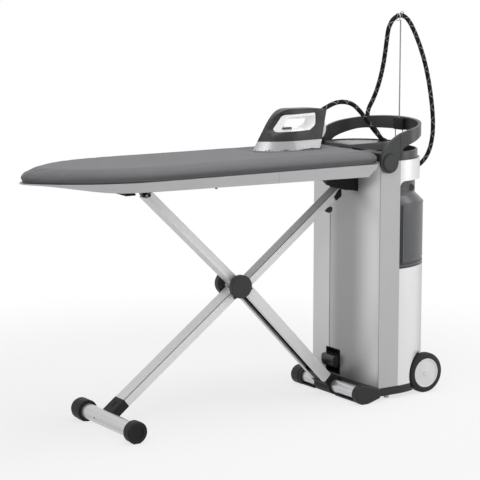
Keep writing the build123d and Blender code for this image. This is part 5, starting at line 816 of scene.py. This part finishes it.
def ironPlace(x, y, z):
    return x, y, z if z < iron["base"] else iron["base"] + (z - iron["base"]) * iron["squat"]


def sideBulge(x):
    # The iron's near side in plan, as a curve of y over x
    slope, bend = iron["bulge"]
    return slope * (x - iron["middle"][0]) + bend * (x - iron["middle"][0]) ** 2


def windowPlace(x, y, z):
    # Moves a place of the grip window back along the iron's bulging side
    to = x + iron["windowShift"]
    share = min(1, max(-1, (y - iron["middle"][1]) / iron["half"]))
    return ironPlace(to, y - share * (sideBulge(to) - sideBulge(x)), z)


def bodyPlace(x, y, z):
    if min(math.hypot(x - edge.x, z - edge.z) for edge in windowEdge) < iron["windowNear"]:
        return windowPlace(x, y, z)
    return ironPlace(x, y, z)


reshaped = {
    "board_tray": boardEndPlace,
    "front_caps": farEndPlace(*farEnds["caps"]), "front_bar": shortenFar(farEnds["frontBar"]),
    "base_feet": farEndPlace(*farEnds["feet"]), "base_bar": shortenFar(farEnds["baseBar"]),
    "handle_bow": bowPlace, "rod_block": blockPlace,
    "iron_body": bodyPlace, "iron_heel": ironPlace, "steam_button": ironPlace, "grip_insert": windowPlace,
    "iron_display": lambda x, y, z: ironPlace(x + iron["displayShift"], y, z),
}
for node, place in reshaped.items():
    for v in dressed[node].data.vertices:
        v.co = place(*v.co)
print("pieces reshaped:", len(reshaped))

# Scissor legs: each half is a drawn section between two places beside the line through its pivots,
# each place given as how far along the leg and how far across it
legs = {
    "base": (0.400, 0.033), "railPin": (-0.3198, 0.7398), "frontBar": (-0.472, 0.035), "boardPivot": (0.4301, 0.7381),
    "outerLower": ((0.044, -0.0005), (0.530, 0.0158)), "outerUpper": ((0.556, 0.0085), (1.0080, 0.0018)),
    "innerLower": ((0.077, 0.0007), (0.600, 0.0102)), "innerUpper": ((0.630, 0.0187), (1.118, 0.0232)),
    "outerHalf": 0.040, "outerDeep": 0.0180, "slotHalf": 0.022, "sheet": 0.003, "linerGap": 0.0002, "linerLow": -0.006,
    "upperHalf": 0.0250, "upperDeep": 0.0142,
    "flute": ((0, -1), (0, -0.60), (0.0014, -0.55), (0.0014, -0.1), (0.0003, 0.9), (0, 1)),
    "innerHalf": 0.0275, "innerDeep": 0.0150, "innerUpperSpan": (-0.0280, 0.0160), "innerUpperDeep": 0.0130,
    "lineProud": 0.0004, "lineWide": 0.0010, "lineDeep": 0.0016, "topFacing": 0.4,
    "end": [(0.3956, 0.6814), (0.4044, 0.6682), (0.4268, 0.6818), (0.4266, 0.7060), (0.4150, 0.7060)],
    "endSpan": (-0.0305, 0.006), "knuckle": (0.0130, -0.026, 0.026),
    "neck": (-0.024, 0.014, -0.0100, 0.0100), "neckFrom": (1.112, 0.012),
    "stop": [(0.3714, 0.639), (0.369, 0.6352), (0.38, 0.6275), (0.3905, 0.632), (0.3925, 0.641), (0.392, 0.648)],
    "stopSpan": (-0.0270, -0.008),
    "plate": [(0.339, 0.764), (0.3391, 0.7337), (0.364, 0.7208), (0.4137, 0.7082), (0.464, 0.703), (0.464, 0.764)],
    "plateSpan": (-0.0655, -0.0602),
}
hub = {
    "place": (0.0105, 0.4175), "cover": (0.0385, 0.034, 0.055), "gripSpan": (0.036, 0.049),
    "grip": [(-0.0134, 0.3779), (0.0569, 0.4047), (0.0340, 0.4460), (-0.0262, 0.4250)],
    "pivot": (0.013, 0.413), "axle": (0.0060, -0.046, 0.046), "topPin": (0.0040, -0.0262, 0.0262),
    "pinHead": (0.0058, 0.0248, 0.0275),
}


def legPlaces(start, end, *places):
    # Places in the side view, along the leg from its foot and across it to the right
    run = (Vector(end) - Vector(start)).normalized()
    return [Vector(start) + along * run + across * Vector((run.y, -run.x)) for along, across in places]


def addSection(form, outline, start, end):
    # Draws an outline of (y, across) points out from start to end in the side view
    run = (end - start).normalized()
    addExtrusion(form, [(start.x + across * run.y, y, start.y - across * run.x) for y, across in outline],
                 (end.x - start.x, 0, end.y - start.y))


def boxOutline(near, far, low, high):
    return [(near, low), (far, low), (far, high), (near, high)]


def makeOuterLeg():
    # Lower half: a box section with a slot along its underside, darkened by a black sheet inside as painted shade
    foot, top = legs["base"], legs["railPin"]
    half, deep, slot, sheet = legs["outerHalf"], legs["outerDeep"], legs["slotHalf"], legs["sheet"]
    ends = legPlaces(foot, top, *legs["outerLower"])
    outline = [
        (-half, -deep), (-half, deep), (half, deep), (half, -deep), (slot, -deep), (slot, -deep + sheet),
        (half - sheet, -deep + sheet), (half - sheet, deep - sheet), (-half + sheet, deep - sheet),
        (-half + sheet, -deep + sheet), (-slot, -deep + sheet), (-slot, -deep),
    ]
    drawPiece("outerLegLowerSection", "outerLegMetal", 0.0012, "outer_leg_lower", (addSection, outline, *ends))
    # A black sheet inside the section, as painted shade in the slot
    inside = half - sheet - legs["linerGap"]
    drawPiece("outerLegSlotLiner", "darkMoulding", 0.0008, "leg_sleeve",
              (addSection, boxOutline(-inside, inside, legs["linerLow"], deep - sheet), *ends), stands=False)
    # Upper half: a narrower section with a shallow flute along its near and far sides
    half, deep = legs["upperHalf"], legs["upperDeep"]
    flute = [(half - inwards, deep * share) for inwards, share in legs["flute"]]
    ends = legPlaces(foot, top, *legs["outerUpper"])
    drawPiece("outerLegUpperSection", "outerLegMetal", 0.0010, "outer_leg_upper",
              (addSection, [(-y, across) for y, across in flute] + flute[::-1], *ends))

def makeInnerLeg():
    # A deep lower half and a narrower upper half, with a dark strip beside their near edge as painted shade in the
    # groove there
    foot, top = legs["frontBar"], legs["boardPivot"]
    halves = ((-legs["innerHalf"], legs["innerHalf"], legs["innerDeep"], legPlaces(foot, top, *legs["innerLower"])),
              (*legs["innerUpperSpan"], legs["innerUpperDeep"], legPlaces(foot, top, *legs["innerUpper"])))
    sections, lines = [], []
    for near, far, deep, ends in halves:
        line = (near - legs["lineProud"], near + legs["lineWide"], -deep - legs["lineProud"], -deep + legs["lineDeep"])
        sections.append((addSection, boxOutline(near, far, -deep, deep), *ends))
        lines.append((addSection, boxOutline(*line), *ends))
    inner = drawPiece("innerLegSections", "innerLegMetal", 0.0012, "inner_leg", *sections)
    # Faces that look up and forward take the darker copy, painted shade from the board above
    inner.data.materials.append(finishes["innerLegTop"])
    for face in inner.data.polygons:
        if face.center.x > 0 and face.normal.x < -legs["topFacing"] and face.normal.z > legs["topFacing"]:
            face.material_index = 1
    # The dark strip is painted shade in the groove beside the near edge
    drawPiece("innerLegLine", "seamGrey", 0, "leg_end", *lines, stands=False)
    # Black block at the leg's end with the knuckle that turns in the bracket
    drawPiece("legEndBlock", "darkMoulding", 0.002, "leg_end",
              (addPrism, legs["end"], *legs["endSpan"]), (addRound, *legs["knuckle"], top, 40),
              (addSection, boxOutline(*legs["neck"]), *legPlaces(foot, top, legs["neckFrom"]), Vector(top)))

def makeLegFittings():
    # The rubber stop, and the bracket's near plate drawn forward over the leg's end
    drawPiece("legStopBumper", "softRubber", 0.0025, "leg_stop", (addPrism, legs["stop"], *legs["stopSpan"]))
    drawPiece("bracketPlate", "bracketPlastic", 0.0015, "rear_bracket",
              (addPrism, legs["plate"], *legs["plateSpan"]), stands=False)

def makeHub():
    # A round cover on each side over a squared grip that holds the lower half of the outer leg
    inner, outer = hub["gripSpan"]
    drawPiece("hubCovers", "hubPlastic", 0.0022, "hub_covers", (addPair, *hub["cover"], hub["place"], 72),
              (addPrism, hub["grip"], -outer, -inner), (addPrism, hub["grip"], inner, outer))
    drawPiece("legPins", "turnedSteel", 0.0006, "leg_pins",
              (addRound, *hub["axle"], hub["pivot"], 32), (addRound, *hub["topPin"], legs["railPin"], 32))
    drawPiece("topPinHeads", "darkMoulding", 0.0006, "leg_pins",
              (addPair, *hub["pinHead"], legs["railPin"], 32), stands=False)

makeOuterLeg()
makeInnerLeg()
makeLegFittings()
makeHub()
print("legs drawn")

# Column shell and water tank, on the outline of half an ellipse behind straight sides
column = {
    "front": 0.552, "half": 0.189, "rear": 0.751, "topRear": 0.728, "bottom": 0.043, "top": 0.810,
    "shoulderLow": 0.643, "shoulderHigh": 0.662, "wall": 0.003, "sides": 192, "over": 0.01,
    "wheel": (0.682, 0.069), "arch": (0.075, 0.148, 0.21),
    "gland": (0.013, (0.72, 0.030, 0.745), 0.2), "inlet": ((0.6465, 0.024, 0.106), (0.76, 0.056, 0.134)),
}
tank = {
    "left": 0.5514, "bottom": 0.4445, "top": 0.7400, "side": -0.020, "corner": 0.021, "cornerBefore": 0.6,
    "cornerAbove": 0.7, "outside": -0.4, "behind": 0.9, "gap": 0.0012, "inset": 0.0020, "over": 0.01,
    "neckLow": 0.659, "neckHigh": 0.688, "neckIn": 0.013, "neckRear": 0.713,
    "bay": ((0.5, -0.3, 0.3), (0.9, -0.017, 0.9)), "bayWall": 0.003,
    # Raised parts of its face, as their front end, bottom and top, cut back from the outline by their inset
    "raised": ((0.5670, 0.4700, 0.6560), (0.5, 0.4485, 0.4570)), "raisedTo": 0.8300, "raisedSide": -0.03,
    "raisedInset": 0.0004,
    # Thin bands on its face, as front, rear, bottom, top and how proud they stand
    "frame": ((0.567, 0.5692, 0.470, 0.656, 0.0002), (0.728, 0.730, 0.470, 0.656, 0.0002),
              (0.567, 0.730, 0.470, 0.4716, 0.0002), (0.567, 0.730, 0.6544, 0.656, 0.0002)),
    "lines": ((0.5530, 0.5655, 0.4459, 0.659, -0.0012), (0.5530, 0.746, 0.4458, 0.4485, -0.0010),
              (0.5530, 0.746, 0.4573, 0.4605, -0.0010)),
    "bandSteps": 16, "bandBack": -0.004,
    "cap": (0.622, 0.712), "capRadius": 0.0115, "capSpan": (-0.003, 0.010),
    "ribs": 4, "ribFrom": 0.5634, "ribPitch": 0.0065, "ribHalf": 0.0010, "ribSpan": (-0.0014, 0.003),
    "ribHeights": (0.708, 0.722),
}


def columnSolid(name, inset, levels):
    # A closed form through (height, rear, further inset) levels
    form = bmesh.new()
    bmesh.ops.create_circle(form, cap_ends=True, segments=column["sides"], radius=1)
    bmesh.ops.bisect_plane(form, geom=form.verts[:] + form.edges[:] + form.faces[:], dist=softEdge["merge"],
                           plane_co=(0, 0, 0), plane_no=(-1, 0, 0), clear_outer=True)
    unit = {v: v.co.copy() for v in form.verts}
    flat = form.faces[:]

    def settle(shape, level):
        height, rear, more = level
        for v, place in shape.items():
            v.co = (column["front"] + place.x * (rear - inset - more - column["front"]),
                    place.y * (column["half"] - inset - more), height)

    settle(unit, levels[0])
    for number, level in enumerate(levels[1:]):
        made = bmesh.ops.extrude_face_region(form, geom=flat, use_keep_orig=number == 0)
        flat = [f for f in made["geom"] if isinstance(f, bmesh.types.BMFace)]
        # Each new corner takes the unit place of the one it lies on
        unit = {v: unit[min(unit, key=lambda u: (u.co.xy - v.co.xy).length)] for v in newVerts(made)}
        settle(unit, level)
    return formPiece(name, form)


def cutBy(piece, cutter, how="DIFFERENCE"):
    # Applies one boolean and takes the cutter away
    join = piece.modifiers.new("cut", "BOOLEAN")
    join.operation, join.object, join.solver = how, cutter, "EXACT"
    done = shownMesh(piece)
    piece.modifiers.clear()
    piece.data = done
    bpy.data.objects.remove(cutter)


def cutter(step, *given):
    form = bmesh.new()
    step(form, *given)
    return formPiece("cutter", form)

def windowPrism(gap):
    # The window's own prism, with its upper front corner rounded
    form = bmesh.new()
    addBox(form, (tank["left"] + gap, tank["outside"], tank["bottom"] + gap),
           (tank["behind"], tank["side"] - gap, tank["top"] - gap))
    corner = [e for e in form.edges
              if all(v.co.x < tank["cornerBefore"] and v.co.z > tank["cornerAbove"] for v in e.verts)]
    bmesh.ops.bevel(form, geom=corner, offset=tank["corner"] - gap, segments=10, profile=0.5, affect="EDGES",
                    material=-1)
    return formPiece("cutter", form)

def straightLevels(low, high):
    rear, topRear = column["rear"], column["topRear"]
    return [(low, rear, 0), (column["shoulderLow"], rear, 0), (column["shoulderHigh"], topRear, 0), (high, topRear, 0)]


def makeShell():
    shell = columnSolid("shellSkin", 0, straightLevels(column["bottom"], column["top"]))
    over = column["over"]
    hollow = columnSolid("cutter", column["wall"], straightLevels(column["bottom"] - over, column["top"] + over))
    for v in hollow.data.vertices:
        if v.co.x < column["front"] + softEdge["close"]:
            v.co.x -= over
    cutBy(shell, hollow)
    cutBy(shell, windowPrism(0))
    cutBy(shell, cutter(addPair, *column["arch"], column["wheel"], 64))
    cutBy(shell, cutter(addBar, *column["gland"], "X", 40))
    cutBy(shell, cutter(addBox, *column["inlet"]))
    finishPiece(shell, "shellLacquer", 0.0008, "rear_shell", "rear_shell")


def nearFace(x, rear, half):
    # Where a half ellipse that reaches back to rear has its near side at x
    return -half * math.sqrt(max(0, 1 - ((x - column["front"]) / (rear - column["front"])) ** 2))


def faceBand(form, left, right, low, high, proud):
    # A thin band that follows the tank's outer face, from left to right in x and low to high
    def line(out):
        places = [left + (right - left) * n / tank["bandSteps"] for n in range(tank["bandSteps"] + 1)]
        return [(x, nearFace(x, column["rear"] + out, column["half"] + out)) for x in places]
    addPlan(form, line(proud) + line(tank["bandBack"])[::-1], low, high)


def makeTank():
    wall, (x, y, z) = tank["bayWall"], (tank["left"], tank["side"], tank["top"])
    bay = columnSolid("tankBayWalls", column["wall"], straightLevels(tank["bottom"] - wall, z + wall))
    cutBy(bay, cutter(addBox, *tank["bay"]), "INTERSECT")
    cutBy(bay, cutter(addBox, (x + wall, tank["outside"], tank["bottom"]), (tank["behind"], y, z)))
    finishPiece(bay, "darkMoulding", 0, "tank_bay", "tank_bay")
    levels = [
        (tank["bottom"] - tank["over"], column["rear"], 0), (tank["neckLow"], column["rear"], 0),
        (tank["neckHigh"], column["topRear"], tank["neckIn"]), (z + tank["over"], column["topRear"], tank["neckIn"]),
    ]
    body = columnSolid("waterTankBody", tank["inset"], levels)
    cutBy(body, windowPrism(tank["gap"]), "INTERSECT")
    # A raised panel on its face, and a foot band at the bottom
    inset = tank["raisedInset"]
    for front, low, high in tank["raised"]:
        raised = columnSolid("cutter", inset, levels[:2])
        box = (front, tank["outside"], low), (tank["raisedTo"], tank["raisedSide"], high)
        cutBy(raised, cutter(addBox, *box), "INTERSECT")
        cutBy(raised, windowPrism(tank["gap"] + inset), "INTERSECT")
        cutBy(body, raised, "UNION")
    finishPiece(body, "smokedClear", 0.0012, "water_tank", "water_tank")
    for name, look, bands in (("tankPanelFrame", "smokedPale", "frame"), ("tankDarkLines", "smokedDark", "lines")):
        drawPiece(name, look, 0, "water_tank", *((faceBand, *band) for band in tank[bands]), stands=False)


def makeTankNeck():
    half = column["half"] - tank["neckIn"]
    face = nearFace(tank["cap"][0], tank["neckRear"], half)
    drawPiece("tankFillerCap", "smokedDark", 0.0012, "tank_cap",
              (addRound, tank["capRadius"], *(face + reach for reach in tank["capSpan"]), tank["cap"], 40))
    (front, back), (low, high) = tank["ribSpan"], tank["ribHeights"]
    ribs = []
    for number in range(tank["ribs"]):
        x = tank["ribFrom"] + number * tank["ribPitch"]
        face = nearFace(x, tank["neckRear"], half)
        ribs.append((addBox, (x - tank["ribHalf"], face + front, low), (x + tank["ribHalf"], face + back, high)))
    drawPiece("tankNeckRibs", "buttonGrey", 0.0004, "tank_cap", *ribs, stands=False)

makeShell()
makeTank()
makeTankNeck()
print("column shell and tank made")

# Front panel: folded sheet with a lighter strip, a wide groove and a soft turn towards the near pillar
panel = {
    "face": 0.468, "bottom": 0.043, "top": 0.810, "half": 0.175, "sheet": 0.0025, "edge": 0.479, "step": 0.006,
    "steps": 8, "grooveFrom": 0.028, "grooveTo": 0.094, "grooveDeep": 0.0022, "groovePower": 0.6,
    "sheetTo": 0.0938, "stripTo": 0.1885, "turnFrom": -0.030, "turnDeep": 0.0085,
    # What is cut out of the sheet: the bracket's recess and the foot latch
    "openings": (((0.4, -0.066, 0.700), (0.5, 0.066, 0.9)), ((0.4, 0.027, 0.048), (0.5, 0.109, 0.136))),
}


def panelDepth(y):
    # How far back the sheet's face lies at y
    if y < panel["turnFrom"]:
        share = (panel["turnFrom"] - y) / (panel["turnFrom"] + panel["half"])
        return panel["turnDeep"] * share ** 2
    low, high = panel["grooveFrom"], panel["grooveTo"]
    if low < y < high:
        return panel["grooveDeep"] * ((y - low) / (high - low)) ** panel["groovePower"]
    return 0.0


def makePanel(name, start, end, look, *replaced):
    # One width of the sheet, with its outer edge folded back
    steps = max(panel["steps"], round((end - start) / panel["step"]))
    places = [start + (end - start) * n / steps for n in range(steps + 1)]
    outline = [(panel["face"] + panelDepth(y), y) for y in places]
    sheet, edge = panel["sheet"], panel["edge"]
    back = [(x + sheet, y) for x, y in outline[::-1]]
    if start < 0:
        back = back[:-1] + [(edge, start + sheet), (edge, start)]
    else:
        back = [(edge, end), (edge, end - sheet)] + back[1:]
    form = bmesh.new()
    addPlan(form, outline + back, panel["bottom"], panel["top"])
    piece = formPiece(name, form)
    for opening in panel["openings"]:
        cutBy(piece, cutter(addBox, *opening))
    finishPiece(piece, look, 0.0008, "front_panel", *replaced)


makePanel("frontPanelSheet", -panel["half"], panel["sheetTo"], "panelLacquer", "front_panel")
makePanel("frontPanelStrip", panel["grooveTo"], panel["stripTo"], "stripLacquer")
print("front panel folded")

# Hose rod: a stem on two wire feet, a ring and an open loop at its top
rod = {
    "x": 0.692, "stem": (0.0024, 0.897, 1.2660), "foot": (0.0019, 0.8185, 0.901), "spread": 0.0200,
    "wire": 0.0016, "sides": 14, "steps": 40,
    # Centre, radius, angle, axis and the side it starts from
    "ring": ((0.680, 0, 1.2760), 0.0125, 360, (1, 0, 0), (0, 0, 1)),
    "loop": ((0.697, 0, 1.2860), 0.0080, 200, (0, 1, 0), (-0.94, 0, -0.34)),
}


def addWireLoop(form, centre, radius, angle, axis, start):
    # A round wire bent about an axis, from a start place beside the centre
    turn = Matrix.Translation(Vector(centre) + Vector(start) * radius)
    lay = turn @ Vector(axis).cross(Vector(start)).to_track_quat("Z", "Y").to_matrix().to_4x4()
    wire = bmesh.ops.create_circle(form, segments=rod["sides"], radius=rod["wire"], matrix=lay)["verts"]
    edges = list({e for v in wire for e in v.link_edges})
    bmesh.ops.spin(form, geom=wire + edges, cent=centre, axis=axis, angle=math.radians(angle), steps=rod["steps"],
                   use_merge=angle == 360, use_duplicate=False)

def addUpright(form, y, radius, low, high):
    addBar(form, radius, (rod["x"], y, (low + high) / 2), high - low)


def makeRod():
    feet = [(addUpright, side * rod["spread"], *rod["foot"]) for side in (-1, 1)]
    drawPiece("hoseRodStem", "rodWire", 0, "hose_rod", (addUpright, 0, *rod["stem"]), *feet)
    drawPiece("hoseRodRing", "paleWire", 0, "hose_rod", (addWireLoop, *rod["ring"]), stands=False)
    drawPiece("hoseRodLoop", "rodWire", 0, "hose_rod", (addWireLoop, *rod["loop"]), stands=False)

# Deck ledge where the hoses land, painted lighter than the deck as a highlight, its raised rim, and the discs on the
# handle's caps
deck = {
    "centre": 0.552, "half": 0.176, "rear": 0.7000, "front": 0.500, "near": 0.026, "low": 0.8200, "ledge": 0.8475,
    "rim": 0.8510, "rimWall": 0.0035, "steps": 24, "disc": (0.0265, 0.2070, 0.2092), "capPlace": (0.495, 0.808),
}


def deckOutline(inset):
    # Plan of the far half of an ellipse behind a straight front, as (x, y) places
    half, reach = deck["half"] - inset, deck["rear"] - inset - deck["centre"]
    start = math.asin(deck["near"] / half)
    turns = [start + (math.pi / 2 - start) * n / deck["steps"] for n in range(deck["steps"] + 1)]
    return [(deck["centre"] + reach * math.cos(t), half * math.sin(t)) for t in turns] + [(deck["front"], half)]


def makeDeckDetails():
    inner, corner = deckOutline(deck["rimWall"]), (deck["front"], deck["near"])
    drawPiece("deckLedge", "ledgePlastic", 0.0020, "top_deck",
              (addPlan, inner + [corner], deck["low"], deck["ledge"]), stands=False)
    drawPiece("deckLedgeRim", "deckPlastic", 0.0008, "top_deck",
              (addPlan, deckOutline(0) + inner[::-1], deck["low"], deck["rim"]), stands=False)
    drawPiece("handleCapDiscs", "discPlastic", 0.0008, "handle_caps",
              (addPair, *deck["disc"], deck["capPlace"], 64), stands=False)

def makeSoleShadowLine():
    # A black band between the iron's band and its sole, as painted shadow under the band
    mesh = mergedCopy("iron_band", "ironGasket")
    for v in mesh.vertices:
        flat = Vector((v.co.x - iron["middle"][0], v.co.y - iron["middle"][1], 0)).normalized()
        v.co += flat * iron["sealProud"]
        v.co.z = iron["sealLow"] if v.co.z < iron["seal"] else iron["seal"]
    finishPiece(linkPiece("ironGasket", mesh), "gasketPlastic", 0.0004, "iron_soleplate")


makeRod()
makeDeckDetails()
makeSoleShadowLine()
print("rod, deck and iron details made")

# Board cover: cloth over a pad, swelled a little and drawn in over the rim
cover = {
    "voxel": 0.0065, "rounds": 6, "pressure": 3.0, "quality": 4, "frames": 20, "swell": 0.006, "heldBelow": 0.8085,
    "tuck": 0.005, "tuckFrom": 0.822, "pressed": ((0.120, 0.360), (-0.012, 0.120)), "pressedTo": 0.8428,
    "pressedSlope": 0.10,
}


def startCover():
    piece = linkPiece("boardCover", mergedCopy("board_cover", "boardCover"))
    remesh = piece.modifiers.new("evenMesh", "REMESH")
    remesh.mode, remesh.voxel_size = "VOXEL", cover["voxel"]
    even = shownMesh(piece)
    piece.modifiers.clear()
    piece.data = even
    form = bmesh.new()
    form.from_mesh(even)
    for turn in range(cover["rounds"]):
        bmesh.ops.smooth_vert(form, verts=form.verts, factor=0.5, use_axis_x=True, use_axis_y=True, use_axis_z=True)
    form.normal_update()
    for v in form.verts:
        tuck = cover["tuck"] * portion(v.co.z, cover["tuckFrom"], cover["heldBelow"])
        v.co = boardEndPlace(*(v.co - Vector((v.normal.x, v.normal.y, 0)) * tuck))
    form.to_mesh(even)
    form.free()
    return piece


def swellCover(piece):
    held = piece.vertex_groups.new(name="held")
    held.add([v.index for v in piece.data.vertices if v.co.z < cover["heldBelow"]], 1.0, "REPLACE")
    before = [v.co.copy() for v in piece.data.vertices]
    swelling = piece.modifiers.new("swelling", "CLOTH")
    swelling.settings.use_pressure = True
    swelling.settings.uniform_pressure_force = cover["pressure"]
    swelling.settings.vertex_group_mass = "held"
    swelling.settings.effector_weights.gravity = 0
    swelling.settings.quality = cover["quality"]
    swelling.point_cache.frame_start, swelling.point_cache.frame_end = 1, cover["frames"]
    for step in range(1, cover["frames"] + 1):
        bpy.context.scene.frame_set(step)
    puffed = shownMesh(piece)
    (left, right), (near, far) = cover["pressed"]
    for v, start in zip(puffed.vertices, before):
        move = v.co - start
        if move.length > cover["swell"]:
            v.co = start + move * (cover["swell"] / move.length)
        # The iron's weight keeps the cloth down under its sole
        away = math.hypot(max(left - v.co.x, 0, v.co.x - right), max(near - v.co.y, 0, v.co.y - far))
        v.co.z = min(v.co.z, cover["pressedTo"] + cover["pressedSlope"] * away)
    piece.modifiers.clear()
    piece.vertex_groups.clear()
    piece.data = puffed
    bpy.context.scene.frame_set(1)


boardCover = startCover()
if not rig.quick():
    swellCover(boardCover)
coat(boardCover, "coverCloth")
boardCover.data.shade_smooth()
finer = boardCover.modifiers.new("finer", "SUBSURF")
finer.levels = finer.render_levels = 1
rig.ride(boardCover, "board")
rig.replaces(boardCover, "board_cover")
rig.slot(boardCover, "cover_fabric")
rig.padded(boardCover, fill=0.9)
print("cover made:", len(boardCover.data.polygons), "faces")

lowNow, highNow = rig.bounds()
with open("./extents.json", "w") as record:
    json.dump({"cad": [list(cadLow), list(cadHigh)], "seen": [list(lowNow), list(highNow)]}, record)
